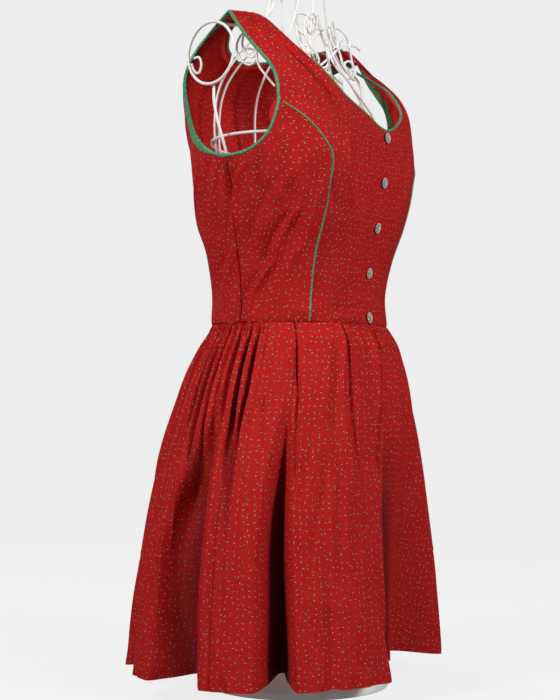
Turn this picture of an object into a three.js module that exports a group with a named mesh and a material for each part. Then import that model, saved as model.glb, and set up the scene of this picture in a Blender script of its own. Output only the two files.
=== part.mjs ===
// A short sleeveless dirndl on a white wire dress form.
// Millimetres, +Z up, the wearer faces -Y, and the wearer's right is -X.
// The origin is on the floor, on the axis of the form's pole.
import * as THREE from 'three';
import { mergeVertices } from 'three/addons/utils/BufferGeometryUtils.js';

// Driving dimensions
const WALL = 1.6; // cotton with its seam allowance and facing
const GAP = 0.3; // between two pieces that are sewn together
const WAIST = 498;
const HEM = 30;
const SHOULDER = 915;
const UNDERARM = 716;
const NECK_FRONT_LOW = 760;
const NECK_BACK_LOW = 882;
const SIDE_SEAM = 96; // degrees round from the centre front
const SKIRT_SEAM = 86; // the skirt's own side seam, on the crest of a fold
const SHOULDER_SLOPE = 0.17; // fall of the strap towards the arm
const NECK_AT_SHOULDER = 118; // half the width of the neckline on top
const LAP = 13; // the right front runs this far past the centre
const LAP_FADE = 18; // the left front dips under the lap over this width
const BUTTON_TOP = 750;
const BUTTON_PITCH = 61;
const BUTTONS = 5;
const BUTTON_RADIUS = 7.2;
const BUTTON_HEIGHT = 4.6;
const BUTTON_LIFT = 0.5; // a button's back stands this far off the cloth
const GATHERS_START = 76; // degrees from the centre front, on each side
const GATHERS_PER_TURN = 72;
const GATHERS_FADE = 4; // degrees over which they begin
const PIPING_WIDTH = 2.6;
const PIPING_LIFT = 0.4;
const PIPING_END = 0.78; // share of the last facet that a princess piping covers
const FACING_ROWS_FROM_TOP = -8; // the first row of the back's points that the neck facing covers
const FACING_AWAY = 1.2; // off the back's inner face
const FACING_CLOTH = 0.9;
const PLEAT_STEP = 2.5; // degrees between columns of points over the pleats
const BACK_SQUARENESS = 0.4; // share of the front's squareness that the back has
const SEAM_TOP = 880; // above this the front and the back only meet at the shoulder seam
const WIRE = 2; // radius of the form's wire
const FOOT_RADIUS = 125;
const FOOT_HEIGHT = 10;
const POLE_RADIUS = 8;
const PRINCESS_TOP = 786; // where the princess seam runs into the armhole
const LAP_CLEAR = 3; // the neck's piping ends this far from the lap
const UNDERLAP = 2.4; // how far the left front lies under the right one
const UNDERLAP_SHORT = 7; // the left front stops this far short of the neckline under the lap
const SEAM_ROWS = 8; // rows of points along a seam

const RED = new THREE.MeshStandardMaterial({ color: 0xb81c1a, roughness: 0.75, metalness: 0 });
const GREEN = new THREE.MeshStandardMaterial({ color: 0x3f9a5e, roughness: 0.6, metalness: 0 });
const SILVER = new THREE.MeshStandardMaterial({ color: 0x8d8a86, roughness: 0.35, metalness: 1 });
const WHITE = new THREE.MeshStandardMaterial({ color: 0xf3f1ec, roughness: 0.4, metalness: 0.1 });

// Bodice, one row for each section from the waist to the shoulder.
// halfWidth is to the side, front and back are the depths at the centre.
// flat presses the front square, full fills out its corners over the bust.
const BODICE = [
  { z: 498, halfWidth: 135, front: 112, back: 110, flat: 0.25, full: 0.03 },
  { z: 540, halfWidth: 134, front: 109, back: 108, flat: 0.27, full: 0.03 },
  { z: 590, halfWidth: 140, front: 115, back: 114, flat: 0.35, full: 0.04 },
  { z: 640, halfWidth: 150, front: 127, back: 124, flat: 0.45, full: 0.05 },
  { z: 690, halfWidth: 160, front: 135, back: 129, flat: 0.5, full: 0.06 },
  { z: 716, halfWidth: 165, front: 138, back: 131, flat: 0.48, full: 0.06 },
  { z: 759, halfWidth: 169, front: 139, back: 138, flat: 0.4, full: 0.035 },
  { z: 784, halfWidth: 170, front: 131, back: 143, flat: 0.42, full: 0.03 },
  { z: 809, halfWidth: 171, front: 120, back: 146, flat: 0.46, full: 0.02 },
  { z: 831, halfWidth: 173, front: 103, back: 144, flat: 0.5, full: 0.01 },
  { z: 850, halfWidth: 176, front: 83, back: 135, flat: 0.48, full: 0 },
  { z: 869, halfWidth: 179, front: 62, back: 118, flat: 0.42, full: 0 },
  { z: 886, halfWidth: 181, front: 44, back: 93, flat: 0.4, full: 0 },
  { z: 900, halfWidth: 182, front: 29, back: 62, flat: 0.35, full: 0 },
  { z: 910, halfWidth: 183, front: 14, back: 30, flat: 0.25, full: 0 },
  { z: 915, halfWidth: 183, front: 0.2, back: 0.2, flat: 0.1, full: 0 },
];

// Half the width of the front panel: the princess seam, and above it the armhole.
const FRONT_PANEL = [
  { z: 498, x: 109 },
  { z: 540, x: 105.5 },
  { z: 590, x: 109.5 },
  { z: 640, x: 114.5 },
  { z: 690, x: 118.5 },
  { z: 712, x: 121 },
  { z: 724, x: 126 },
  { z: 743, x: 136.5 },
  { z: 758, x: 145 },
  { z: 773, x: 154 },
  { z: PRINCESS_TOP, x: 160.5 },
  { z: 807, x: 160.5 },
  { z: 831, x: 161.6 },
  { z: 854, x: 166 },
  { z: 874, x: 171.5 },
  { z: 896, x: 177 },
  { z: SHOULDER, x: 181 },
];

// Half the width of the neckline, front and back.
const NECK_FRONT = [
  { z: NECK_FRONT_LOW, x: 0 },
  { z: 766, x: 24 },
  { z: 775, x: 46 },
  { z: 785, x: 65 },
  { z: 800, x: 88 },
  { z: 820, x: 102 },
  { z: 840, x: 108 },
  { z: 860, x: 109 },
  { z: 880, x: 110.5 },
  { z: 895, x: 113 },
  { z: SHOULDER, x: NECK_AT_SHOULDER },
];
const NECK_BACK = [
  { z: NECK_BACK_LOW, x: 0 },
  { z: 888, x: 44 },
  { z: 896, x: 78 },
  { z: 904, x: 102 },
  { z: 910, x: 113 },
  { z: SHOULDER, x: NECK_AT_SHOULDER },
];

// The armhole below the princess seam, and up the back, in degrees from the centre front.
const ARMHOLE_FRONT = [
  { z: UNDERARM, turn: 96 },
  { z: 719.4, turn: 86.4 },
  { z: 729.3, turn: 80 },
  { z: 745.8, turn: 74.7 },
  { z: 766, turn: 71.4 },
  { z: PRINCESS_TOP, turn: 69 },
];
const ARMHOLE_BACK = [
  { z: UNDERARM, turn: 96 },
  { z: 721, turn: 103 },
  { z: 735, turn: 113.5 },
  { z: 750, turn: 120 },
  { z: 770, turn: 123.5 },
  { z: 798, turn: 125.5 },
  { z: 827, turn: 127.5 },
  { z: 850, turn: 127 },
  { z: 869, turn: 123.5 },
  { z: 886, turn: 118 },
  { z: 900, turn: 112 },
  { z: SHOULDER, turn: 98.5 },
];

// Skirt, one row for each section from the waist to the hem.
const SKIRT = [
  { z: 497.7, halfWidth: 135, front: 112, back: 110, flat: 0.25, gather: 0.4 },
  { z: 486, halfWidth: 140, front: 120, back: 115, flat: 0.24, gather: 1.5 },
  { z: 466, halfWidth: 151, front: 131, back: 130, flat: 0.2, gather: 4 },
  { z: 432, halfWidth: 166, front: 140, back: 149, flat: 0.16, gather: 6 },
  { z: 394, halfWidth: 180, front: 147, back: 163, flat: 0.12, gather: 6.5 },
  { z: 325, halfWidth: 203, front: 156, back: 184, flat: 0.08, gather: 5 },
  { z: 254, halfWidth: 221, front: 165, back: 201, flat: 0.05, gather: 2.5 },
  { z: 150, halfWidth: 236, front: 178, back: 221, flat: 0.02, gather: 0.6 },
  { z: HEM, halfWidth: 246, front: 193, back: 234, flat: 0, gather: 0 },
];

// Main folds of the skirt. Each starts at an edge, goes in, and comes out again over its reach.
// Edge and reach are in degrees and deep in mm, at the four heights below.
// side is the way that it runs, and turnIn is the share of the reach that the way in takes.
const FOLD_HEIGHTS = [498, 400, 254, 30];
const FOLDS = [
  { edge: [-56, -55.5, -55, -53], reach: [5, 8, 12, 17], deep: [2, 9, 36, 76], side: -1, turnIn: 0.3 },
  { edge: [-23.5, -24, -26, -28], reach: [6, 10, 12, 12], deep: [2, 6, 6, 3], side: 1, turnIn: 0.25 },
  { edge: [13, -7.5, -16, -20], reach: [8, 20, 42, 60], deep: [2, 9, 30, 60], side: 1, turnIn: 0.28 },
  { edge: [16, 4, -2, 0], reach: [6, 16, 34, 42], deep: [0, 2, 26, 75], side: 1, turnIn: 0.75 },
  { edge: [-44, -44, -45, -45], reach: [3, 4, 6, 8], deep: [0, 0, 3, 7], side: 1, turnIn: 0.5 },
  { edge: [-90, -90, -91, -90], reach: [4, 8, 18, 20], deep: [1, 5, 38, 56], side: -1, turnIn: 0.35 },
  { edge: [-126, -127, -128, -128], reach: [4, 8, 16, 18], deep: [0, 3, 18, 34], side: -1, turnIn: 0.5 },
  { edge: [-152, -153, -154, -155], reach: [4, 8, 15, 16], deep: [0, 4, 26, 48], side: -1, turnIn: 0.5 },
  { edge: [-180, -180, -181, -182], reach: [4, 8, 14, 18], deep: [0, 3, 20, 36], side: -1, turnIn: 0.5 },
  { edge: [154, 153, 152, 151], reach: [4, 8, 17, 20], deep: [0, 4, 28, 52], side: -1, turnIn: 0.5 },
  { edge: [124, 124, 123, 122], reach: [4, 8, 14, 16], deep: [0, 3, 20, 38], side: -1, turnIn: 0.5 },
  { edge: [90, 90, 90, 89], reach: [4, 8, 15, 17], deep: [1, 5, 32, 50], side: 1, turnIn: 0.35 },
  { edge: [57, 57, 56, 55], reach: [5, 8, 12, 15], deep: [2, 8, 30, 58], side: 1, turnIn: 0.3 },
  { edge: [33, 31, 27, 24], reach: [6, 9, 8, 8], deep: [2, 5, 3, 0], side: -1, turnIn: 0.25 },
];
const HEM_LIFT = 0.16; // the hem rises this share of a fold's depth

// ---------- tables and sections ----------

// A smooth curve through one column of a table, along another column.
function along(rows, key, value, column) {
  const last = rows.length - 1;
  const rising = rows[last][key] > rows[0][key];
  let i = 0;
  while (i < last - 1 && (rising ? rows[i + 1][key] < value : rows[i + 1][key] > value)) i += 1;
  const before = rows[Math.max(i - 1, 0)];
  const a = rows[i];
  const b = rows[i + 1];
  const after = rows[Math.min(i + 2, last)];
  const span = b[key] - a[key];
  const f = THREE.MathUtils.clamp((value - a[key]) / span, 0, 1);
  const slope = (from, to) => ((to[column] - from[column]) / (to[key] - from[key])) * span;
  const slopeA = i > 0 ? slope(before, b) : slope(a, b);
  const slopeB = i < last - 1 ? slope(a, after) : slope(a, b);
  const f2 = f * f;
  const f3 = f2 * f;
  return a[column] * (2 * f3 - 3 * f2 + 1) + slopeA * (f3 - 2 * f2 + f)
    + b[column] * (3 * f2 - 2 * f3) + slopeB * (f3 - f2);
}

const radians = (degrees) => (degrees * Math.PI) / 180;
const mix = (a, b, f) => a + (b - a) * f;
const smooth = (f) => THREE.MathUtils.smoothstep(f, 0, 1);

// The bodice's surface. turn is in degrees from the centre front, negative on the wearer's right.
function bodicePoint(turn, z) {
  const angle = radians(turn);
  const isFront = Math.cos(angle) > 0;
  const width = along(BODICE, 'z', z, 'halfWidth');
  const depth = Math.max(along(BODICE, 'z', z, isFront ? 'front' : 'back'), GAP / 2);
  const flat = along(BODICE, 'z', z, 'flat') * (isFront ? 1 : BACK_SQUARENESS);
  const full = along(BODICE, 'z', z, 'full') * (isFront ? 1 : BACK_SQUARENESS);
  const sine = Math.sin(angle);
  const x = width * sine * (1 + full * Math.sin(2 * angle) ** 2);
  const y = -depth * Math.cos(angle) * (1 + flat * sine * sine);
  const fall = SHOULDER_SLOPE * Math.max(Math.abs(x) - NECK_AT_SHOULDER, 0);
  const top = smooth((z - UNDERARM) / (SHOULDER - UNDERARM));
  return new THREE.Vector3(x, y, z - fall * top);
}

// The turn at which a section is x wide.
function turnAt(x, z) {
  let low = 0;
  let high = 90;
  for (let i = 0; i < 30; i += 1) {
    const middle = (low + high) / 2;
    if (bodicePoint(middle, z).x < Math.abs(x)) low = middle;
    else high = middle;
  }
  return Math.sign(x) * low;
}

// How deep the skirt's folds are at one place.
function foldDepth(turn, z) {
  let deep = 0;
  for (const fold of FOLDS) {
    const at = (list) => {
      const rows = FOLD_HEIGHTS.map((height, i) => ({ height, value: list[i] }));
      return along(rows, 'height', z, 'value');
    };
    let away = (turn - at(fold.edge)) * fold.side;
    away -= 360 * Math.round((away - 60) / 360);
    const share = away / at(fold.reach);
    if (share <= 0 || share >= 1) continue;
    const goingIn = share < fold.turnIn;
    const part = goingIn ? share / fold.turnIn : (1 - share) / (1 - fold.turnIn);
    deep += Math.max(at(fold.deep), 0) * Math.sin((part * Math.PI) / 2) ** 2;
  }
  return deep;
}

function skirtPoint(turn, z) {
  const angle = radians(turn);
  const isFront = Math.cos(angle) > 0;
  const width = along(SKIRT, 'z', z, 'halfWidth');
  const depth = along(SKIRT, 'z', z, isFront ? 'front' : 'back');
  const flat = along(SKIRT, 'z', z, 'flat') * (isFront ? 1 : BACK_SQUARENESS);
  const sine = Math.sin(angle);
  const x = width * sine;
  const y = -depth * Math.cos(angle) * (1 + flat * sine * sine);
  const deep = foldDepth(turn, z);
  const round = Math.abs(turn > 180 ? turn - 360 : turn);
  const gathered = smooth((round - GATHERS_START) / GATHERS_FADE);
  const wave = 0.5 - 0.5 * Math.cos(radians(turn * GATHERS_PER_TURN));
  const inwards = deep + gathered * along(SKIRT, 'z', z, 'gather') * wave;
  const reach = Math.hypot(x, y);
  const scale = (reach - inwards) / reach;
  const low = smooth((WAIST - z) / (WAIST - HEM));
  return new THREE.Vector3(x * scale, y * scale, z + deep * HEM_LIFT * low * low);
}

// ---------- solids ----------

// One closed body from faces given as rows of points and lists of triangles.
function solid(name, positions, triangles, material) {
  const geometry = new THREE.BufferGeometry();
  geometry.setAttribute('position', new THREE.Float32BufferAttribute(positions, 3));
  geometry.setIndex(triangles);
  const merged = mergeVertices(geometry, 1e-4);
  merged.computeVertexNormals();
  const mesh = new THREE.Mesh(merged, material);
  mesh.name = name;
  return mesh;
}

// A wall between a grid of outer points and one of inner points: outer[i][j] runs round (i) and up (j).
function wall(name, outer, inner, material, closed = false) {
  const across = outer.length;
  const up = outer[0].length;
  const positions = [];
  for (const side of [outer, inner]) {
    for (const column of side) {
      for (const point of column) positions.push(point.x, point.y, point.z);
    }
  }
  const at = (side, i, j) => side * across * up + (i % across) * up + j;
  const triangles = [];
  const isLeft = (i) => outer[i][0].x + outer[Math.min(i + 1, across - 1)][0].x > 0;
  let mirrored = false; // the wearer's left is split along the other diagonal, as a mirror image
  const quad = (a, b, c, d) => {
    if (mirrored) triangles.push(a, b, d, b, c, d);
    else triangles.push(a, b, c, a, c, d);
  };
  const runs = closed ? across : across - 1;
  for (let i = 0; i < runs; i += 1) {
    mirrored = isLeft(i);
    for (let j = 0; j < up - 1; j += 1) {
      quad(at(0, i, j), at(0, i + 1, j), at(0, i + 1, j + 1), at(0, i, j + 1));
      quad(at(1, i, j), at(1, i, j + 1), at(1, i + 1, j + 1), at(1, i + 1, j));
    }
    quad(at(0, i, 0), at(1, i, 0), at(1, i + 1, 0), at(0, i + 1, 0));
    quad(at(0, i, up - 1), at(0, i + 1, up - 1), at(1, i + 1, up - 1), at(1, i, up - 1));
  }
  if (!closed) {
    for (let j = 0; j < up - 1; j += 1) {
      quad(at(0, 0, j), at(0, 0, j + 1), at(1, 0, j + 1), at(1, 0, j));
      quad(at(0, across - 1, j), at(1, across - 1, j), at(1, across - 1, j + 1), at(0, across - 1, j + 1));
    }
  }
  return solid(name, positions, triangles, material);
}

// The outward unit vector of a surface given as a function of turn and height.
function outward(surface, turn, z) {
  const round = surface(turn + 0.4, z).sub(surface(turn - 0.4, z));
  const lower = Math.max(z - 1.5, HEM);
  const upper = Math.min(z + 1.5, SHOULDER);
  const rise = surface(turn, upper).sub(surface(turn, lower));
  return round.cross(rise).normalize();
}

// A bodice panel: turnOf(u, z) is the turn of column u, and heightsOf(u) the heights of its points.
function panel(name, turnOf, heightsOf, columns, insetOf = () => 0) {
  const grid = [];
  for (const u of columns) {
    const column = [];
    for (const z of heightsOf(u)) {
      const turn = turnOf(u, z);
      const normal = outward(bodicePoint, turn, z);
      const point = bodicePoint(turn, z);
      point.addScaledVector(normal, -insetOf(point.x));
      const inside = point.clone().addScaledVector(normal, -WALL);
      const halfGap = GAP / 2;
      for (const p of [point, inside]) {
        if (Math.abs(turn) < 90 && z > SEAM_TOP) p.y = Math.min(p.y, -halfGap);
        if (Math.abs(turn) >= 90 && z > SEAM_TOP) p.y = Math.max(p.y, halfGap);
      }
      column.push({ point, inside, normal });
    }
    grid.push(column);
  }
  const outer = grid.map((column) => column.map((node) => node.point));
  const inner = grid.map((column) => column.map((node) => node.inside));
  const mesh = wall(name, outer, inner, RED);
  mesh.userData.grid = grid;
  return mesh;
}

// The height at which a test along a column first turns true, from below.
function firstHeight(test, from, to) {
  const step = 1;
  let z = from;
  while (z < to && !test(z)) z += step;
  if (z >= to) return to;
  let low = z - step;
  let high = z;
  for (let i = 0; i < 20; i += 1) {
    const middle = (low + high) / 2;
    if (test(middle)) high = middle;
    else low = middle;
  }
  return low;
}

const steps = (count) => Array.from({ length: count + 1 }, (_, i) => i / count);

// Heights up to the underarm or princess seam and from there to the top, shared where panels meet.
const closerOnTop = (v) => Math.sin((v * Math.PI) / 2);
const closerAtEnds = (v) => (1 - Math.cos(v * Math.PI)) / 2;

function heights(middle, top, rowsAbove, spacing = closerOnTop) {
  const below = steps(SEAM_ROWS).map((v) => mix(WAIST, middle, v));
  const above = steps(rowsAbove).slice(1).map((v) => mix(middle, top, spacing(v)));
  return [...below, ...above];
}

const seamShift = (z) => (GAP / 2 / along(BODICE, 'z', z, 'halfWidth')) * (180 / Math.PI);
const princessTurn = (z) => turnAt(along(FRONT_PANEL, 'z', z, 'x'), z);

// side is -1 for the wearer's right and 1 for the left.
function frontPanelX(side, u, z) {
  const edge = along(FRONT_PANEL, 'z', z, 'x');
  return mix(-LAP, edge, u) * side;
}

// The left front ends a little lower where it lies under the lap, clear of the piping there.
function frontTop(side, u) {
  const edge = firstHeight(
    (z) => along(NECK_FRONT, 'z', z, 'x') > Math.abs(frontPanelX(side, u, z)),
    NECK_FRONT_LOW,
    SHOULDER,
  );
  const isUnder = side > 0 && frontPanelX(side, u, edge) < LAP + LAP_CLEAR;
  return isUnder ? edge - UNDERLAP_SHORT : edge;
}

function centreFront(name, side) {
  const turnOf = (u, z) => {
    const turn = turnAt(frontPanelX(side, u, z), z);
    return u === 1 ? turn - side * 2 * seamShift(z) : turn;
  };
  const under = (x) => (side > 0 ? UNDERLAP * (1 - smooth((x - LAP) / LAP_FADE)) : 0);
  const columns = [0, 0.1, 0.18, 0.27, 0.36, 0.45, 0.53, 0.59, 0.63, 0.66, 0.68, 0.7, 0.73, 0.82, 0.91, 1];
  const levels = (u) => heights(mix(UNDERARM, PRINCESS_TOP, u), frontTop(side, u), 7);
  return panel(name, turnOf, levels, side > 0 ? columns : columns.slice().reverse(), under);
}

function armholeFrontZ(turn) {
  const rows = ARMHOLE_FRONT.map((row) => ({ turn: -row.turn, z: row.z }));
  return along(rows, 'turn', -turn, 'z');
}

function sideFront(name, side) {
  const turnOf = (u, z) => side * mix(princessTurn(z) + 2 * seamShift(z), SIDE_SEAM - seamShift(z), u);
  const topOf = (u) => {
    const over = (z) => z > armholeFrontZ(Math.abs(turnOf(u, z)));
    return u === 0 ? PRINCESS_TOP : firstHeight(over, UNDERARM, PRINCESS_TOP);
  };
  const levels = (u) => heights(topOf(u), topOf(u), 0);
  const columns = [0, 0.12, 0.25, 0.4, 0.55, 0.7, 0.85, 1];
  return panel(name, turnOf, levels, side > 0 ? columns : columns.slice().reverse());
}

const armholeBackTurn = (z) => (z <= UNDERARM ? SIDE_SEAM : along(ARMHOLE_BACK, 'z', z, 'turn'));

function bodiceBack(name) {
  // u runs from the left side seam over the centre back to the right side seam
  const turnOf = (u, z) => {
    const edge = armholeBackTurn(z) + (z <= UNDERARM ? seamShift(z) : 0);
    return mix(edge, 360 - edge, u);
  };
  const topOf = (u) => firstHeight(
    (z) => along(NECK_BACK, 'z', z, 'x') > Math.abs(bodicePoint(turnOf(u, z), z).x),
    NECK_BACK_LOW,
    SHOULDER,
  );
  const half = [0, 0.05, 0.11, 0.18, 0.26, 0.34, 0.42, 0.5];
  const columns = [...half, ...half.slice(0, -1).reverse().map((u) => 1 - u)];
  const levels = (u) => heights(UNDERARM, topOf(u), 11, closerAtEnds);
  return panel(name, turnOf, levels, columns);
}

// ---------- edges, bindings and pipings ----------

// Sweeps a flat profile along rings of points, closing it round or capping its ends.
function sweep(name, rings, profile, closed, material) {
  const count = rings.length;
  const sides = profile.length;
  const positions = rings.flat().flatMap((p) => [p.x, p.y, p.z]);
  const triangles = [];
  const quad = (a, b, c, d) => triangles.push(a, b, c, a, c, d);
  const runs = closed ? count : count - 1;
  for (let i = 0; i < runs; i += 1) {
    const next = (i + 1) % count;
    for (let j = 0; j < sides; j += 1) {
      const k = (j + 1) % sides;
      quad(i * sides + j, next * sides + j, next * sides + k, i * sides + k);
    }
  }
  if (!closed) {
    const end = (count - 1) * sides;
    const turning = (list) => Math.sign(THREE.ShapeUtils.area(list));
    for (const [a, b, c] of THREE.ShapeUtils.triangulateShape(profile, [])) {
      const same = turning([profile[a], profile[b], profile[c]]) === turning(profile);
      const [p, q] = same ? [b, c] : [c, b];
      triangles.push(a, p, q);
      triangles.push(end + a, end + q, end + p);
    }
  }
  return solid(name, positions, triangles, material);
}

// A strip along the nodes of a panel's edge. Each corner of the profile is (off, out): off the cloth's
// edge and out of its face. offSide is 1 where the open side is left of the path, seen from outside.
// A node may name the point beside it in the panel, and the strip then lies along that facet.
function strip(name, nodes, profile, offSide, closed, material) {
  const count = nodes.length;
  const rings = nodes.map(({ point, normal, beside }, i) => {
    const before = nodes[closed ? (i + count - 1) % count : Math.max(i - 1, 0)].point;
    const after = nodes[closed ? (i + 1) % count : Math.min(i + 1, count - 1)].point;
    const tangent = after.clone().sub(before).normalize();
    const square = normal.clone().cross(tangent).normalize().multiplyScalar(offSide);
    const off = beside ? point.clone().sub(beside).normalize() : square;
    const turnIn = point.clone().sub(before).normalize().dot(after.clone().sub(point).normalize());
    const mitre = closed || (i > 0 && i < count - 1) ? Math.sqrt(2 / (1 + Math.max(turnIn, 0))) : 1;
    return profile.map((corner) => point.clone()
      .addScaledVector(off, corner.x * mitre)
      .addScaledVector(normal, corner.y));
  });
  const asIs = THREE.ShapeUtils.area(profile) * offSide < 0;
  const ordered = asIs ? rings : rings.map((ring) => ring.slice().reverse());
  const shape = asIs ? profile : profile.slice().reverse();
  return sweep(name, ordered, shape, closed, material);
}

const corner = (off, out) => new THREE.Vector2(off, out);

// A folded binding round a wall's edge, with its legs on the outer and the inner face.
// The inner leg dips, because the wall curves inwards away from its edge.
function bindingProfile(outerLeg, innerLeg, cloth, dip, gap) {
  const inside = -WALL - gap;
  return [
    corner(-outerLeg, gap),
    corner(gap, gap),
    corner(gap, inside),
    corner(-innerLeg, inside - dip),
    corner(-innerLeg, inside - dip - cloth),
    corner(gap + cloth, inside - cloth),
    corner(gap + cloth, gap + cloth),
    corner(-outerLeg, gap + cloth),
  ];
}

const columnOf = (mesh, i) => mesh.userData.grid[i < 0 ? mesh.userData.grid.length + i : i];
const topNodes = (mesh) => mesh.userData.grid.map((column) => column[column.length - 1]);

// One node on the shoulder, between the last nodes of a front and a back.
function overShoulder(front, back) {
  return {
    point: front.point.clone().add(back.point).multiplyScalar(0.5),
    beside: front.beside,
    normal: front.normal.clone().add(back.normal).normalize(),
  };
}

// The nodes of an edge column, each with the node beside it in the next column.
function besideColumn(edge, next) {
  return edge.map((node, j) => ({ ...node, beside: next[j].point }));
}

// The top nodes of a panel, each with the node under it.
function besideTop(mesh) {
  return mesh.userData.grid.map((column) => {
    const last = column.length - 1;
    return { ...column[last], beside: column[last - 1].point };
  });
}

function armholeNodes(side, front, sidePiece, back) {
  const under = side > 0 ? besideTop(sidePiece).reverse() : besideTop(sidePiece);
  const atEnd = (mesh, fromEnd) => besideColumn(
    columnOf(mesh, fromEnd ? -1 : 0),
    columnOf(mesh, fromEnd ? -2 : 1),
  ).slice(SEAM_ROWS + 1);
  const frontEdge = atEnd(front, side > 0);
  const backEdge = atEnd(back, side < 0).reverse();
  const shoulder = overShoulder(frontEdge[frontEdge.length - 1], backEdge[0]);
  return [...under, ...frontEdge.slice(0, -1), shoulder, ...backEdge.slice(1)];
}

function neckNodes(frontRight, frontLeft, back) {
  const isNeck = (node) => Math.abs(node.point.x) < NECK_AT_SHOULDER - 1;
  const right = topNodes(frontRight).reverse().filter(isNeck);
  const left = topNodes(frontLeft).filter(isNeck).filter((node) => node.point.x > LAP + LAP_CLEAR);
  const behind = topNodes(back).reverse().filter(isNeck);
  const shoulder = (sign) => {
    const z = SHOULDER;
    const turn = turnAt(sign * NECK_AT_SHOULDER, z);
    return { point: bodicePoint(turn, z), normal: new THREE.Vector3(0, 0, 1) };
  };
  return [...right, shoulder(-1), ...behind, shoulder(1), ...left.reverse()];
}

// ---------- bodice ----------

const group = new THREE.Group();
const frontRight = centreFront('bodice_front_right', -1);
const frontLeft = centreFront('bodice_front_left', 1);
const sideRight = sideFront('bodice_side_right', -1);
const sideLeft = sideFront('bodice_side_left', 1);
const back = bodiceBack('bodice_back');
group.add(frontRight, frontLeft, sideRight, sideLeft, back);

const armholeProfile = bindingProfile(3.6, 6, 0.9, 1.6, 0.9);
const rightArmhole = armholeNodes(-1, frontRight, sideRight, back);
const leftArmhole = armholeNodes(1, frontLeft, sideLeft, back);
group.add(strip('armhole_binding_right', rightArmhole, armholeProfile, 1, true, GREEN));
group.add(strip('armhole_binding_left', leftArmhole, armholeProfile, -1, true, GREEN));
const neckProfile = bindingProfile(1.3, 1.1, 0.8, 1.2, 1.4);
group.add(strip('neck_piping', neckNodes(frontRight, frontLeft, back), neckProfile, -1, false, GREEN));

// A cord laid over each princess seam, from the waist to just under the armhole's binding.
function princessPiping(name, front, side) {
  const seam = columnOf(front, side > 0 ? -1 : 0).slice(0, SEAM_ROWS + 1);
  const last = seam[SEAM_ROWS];
  const before = seam[SEAM_ROWS - 1];
  const end = before.point.clone().lerp(last.point, PIPING_END);
  const nodes = [...seam.slice(0, -1), { ...last, point: end }];
  const half = PIPING_WIDTH / 2;
  const profile = [
    corner(-half, PIPING_LIFT),
    corner(half, PIPING_LIFT),
    corner(half * 0.8, PIPING_LIFT + 0.9),
    corner(0, PIPING_LIFT + 1.3),
    corner(-half * 0.8, PIPING_LIFT + 0.9),
  ];
  return strip(name, nodes, profile, 1, false, GREEN);
}
group.add(princessPiping('princess_piping_right', frontRight, -1));
group.add(princessPiping('princess_piping_left', frontLeft, 1));

// The facing inside the back of the neck, from strap to strap.
function backNeckFacing(name) {
  const columns = back.userData.grid.slice(3, -3).map((column) => {
    const rows = column.slice(FACING_ROWS_FROM_TOP, -1);
    const last = rows[rows.length - 1];
    const halfway = rows[rows.length - 2].inside.clone().lerp(last.inside, 0.5);
    const lower = rows.slice(0, -1).map(({ inside, normal }) => ({ point: inside, normal }));
    return [...lower, { point: halfway, normal: last.normal }];
  });
  const moved = (away) => columns.map((column) => column.map(({ point, normal }) => point.clone()
    .addScaledVector(normal, -away)));
  return wall(name, moved(FACING_AWAY), moved(FACING_AWAY + FACING_CLOTH), RED);
}
group.add(backNeckFacing('back_neck_facing'));

// ---------- buttons ----------

function button(name, z) {
  const profile = [
    new THREE.Vector2(0, 0),
    new THREE.Vector2(BUTTON_RADIUS * 0.85, 0),
    new THREE.Vector2(BUTTON_RADIUS, BUTTON_HEIGHT * 0.3),
    new THREE.Vector2(BUTTON_RADIUS * 0.8, BUTTON_HEIGHT * 0.68),
    new THREE.Vector2(BUTTON_RADIUS * 0.45, BUTTON_HEIGHT * 0.93),
    new THREE.Vector2(0, BUTTON_HEIGHT),
  ];
  const mesh = new THREE.Mesh(new THREE.LatheGeometry(profile, 16), SILVER);
  mesh.name = name;
  const normal = outward(bodicePoint, 0, z);
  mesh.quaternion.setFromUnitVectors(new THREE.Vector3(0, 1, 0), normal);
  mesh.position.copy(bodicePoint(0, z).addScaledVector(normal, BUTTON_LIFT));
  return mesh;
}
for (let i = 0; i < BUTTONS; i += 1) {
  group.add(button(`button_${i + 1}`, BUTTON_TOP - i * BUTTON_PITCH));
}

// ---------- skirt ----------

function skirtPanel(name, turns) {
  const outer = [];
  const inner = [];
  for (const turn of turns) {
    const column = SKIRT.map(({ z }) => skirtPoint(turn, z));
    outer.push(column);
    inner.push(column.map((point, j) => point.clone()
      .addScaledVector(outward(skirtPoint, turn, SKIRT[j].z), -WALL)));
  }
  for (const column of inner) {
    column[0].z = SKIRT[0].z;
  }
  const upwards = (columns) => columns.map((column) => column.slice().reverse());
  return wall(name, upwards(outer), upwards(inner), RED);
}

// One column on each crest and hollow of the gathers, and an even spacing over the pleats.
const halfGather = 180 / GATHERS_PER_TURN;
function turnsBetween(from, to) {
  const list = [from];
  const nearest = Math.ceil((from + 0.5) / halfGather) * halfGather;
  for (let turn = nearest; turn < to - 0.5;) {
    list.push(turn);
    const round = Math.abs(turn > 180 ? turn - 360 : turn);
    turn += round + PLEAT_STEP < GATHERS_START ? PLEAT_STEP : halfGather;
  }
  list.push(to);
  return list;
}
const skirtSeam = 2 * seamShift(WAIST);
group.add(skirtPanel('skirt_front', turnsBetween(-SKIRT_SEAM + skirtSeam, SKIRT_SEAM - skirtSeam)));
group.add(skirtPanel('skirt_back', turnsBetween(SKIRT_SEAM + skirtSeam, 360 - SKIRT_SEAM - skirtSeam)));

// ---------- wire form ----------

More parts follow.
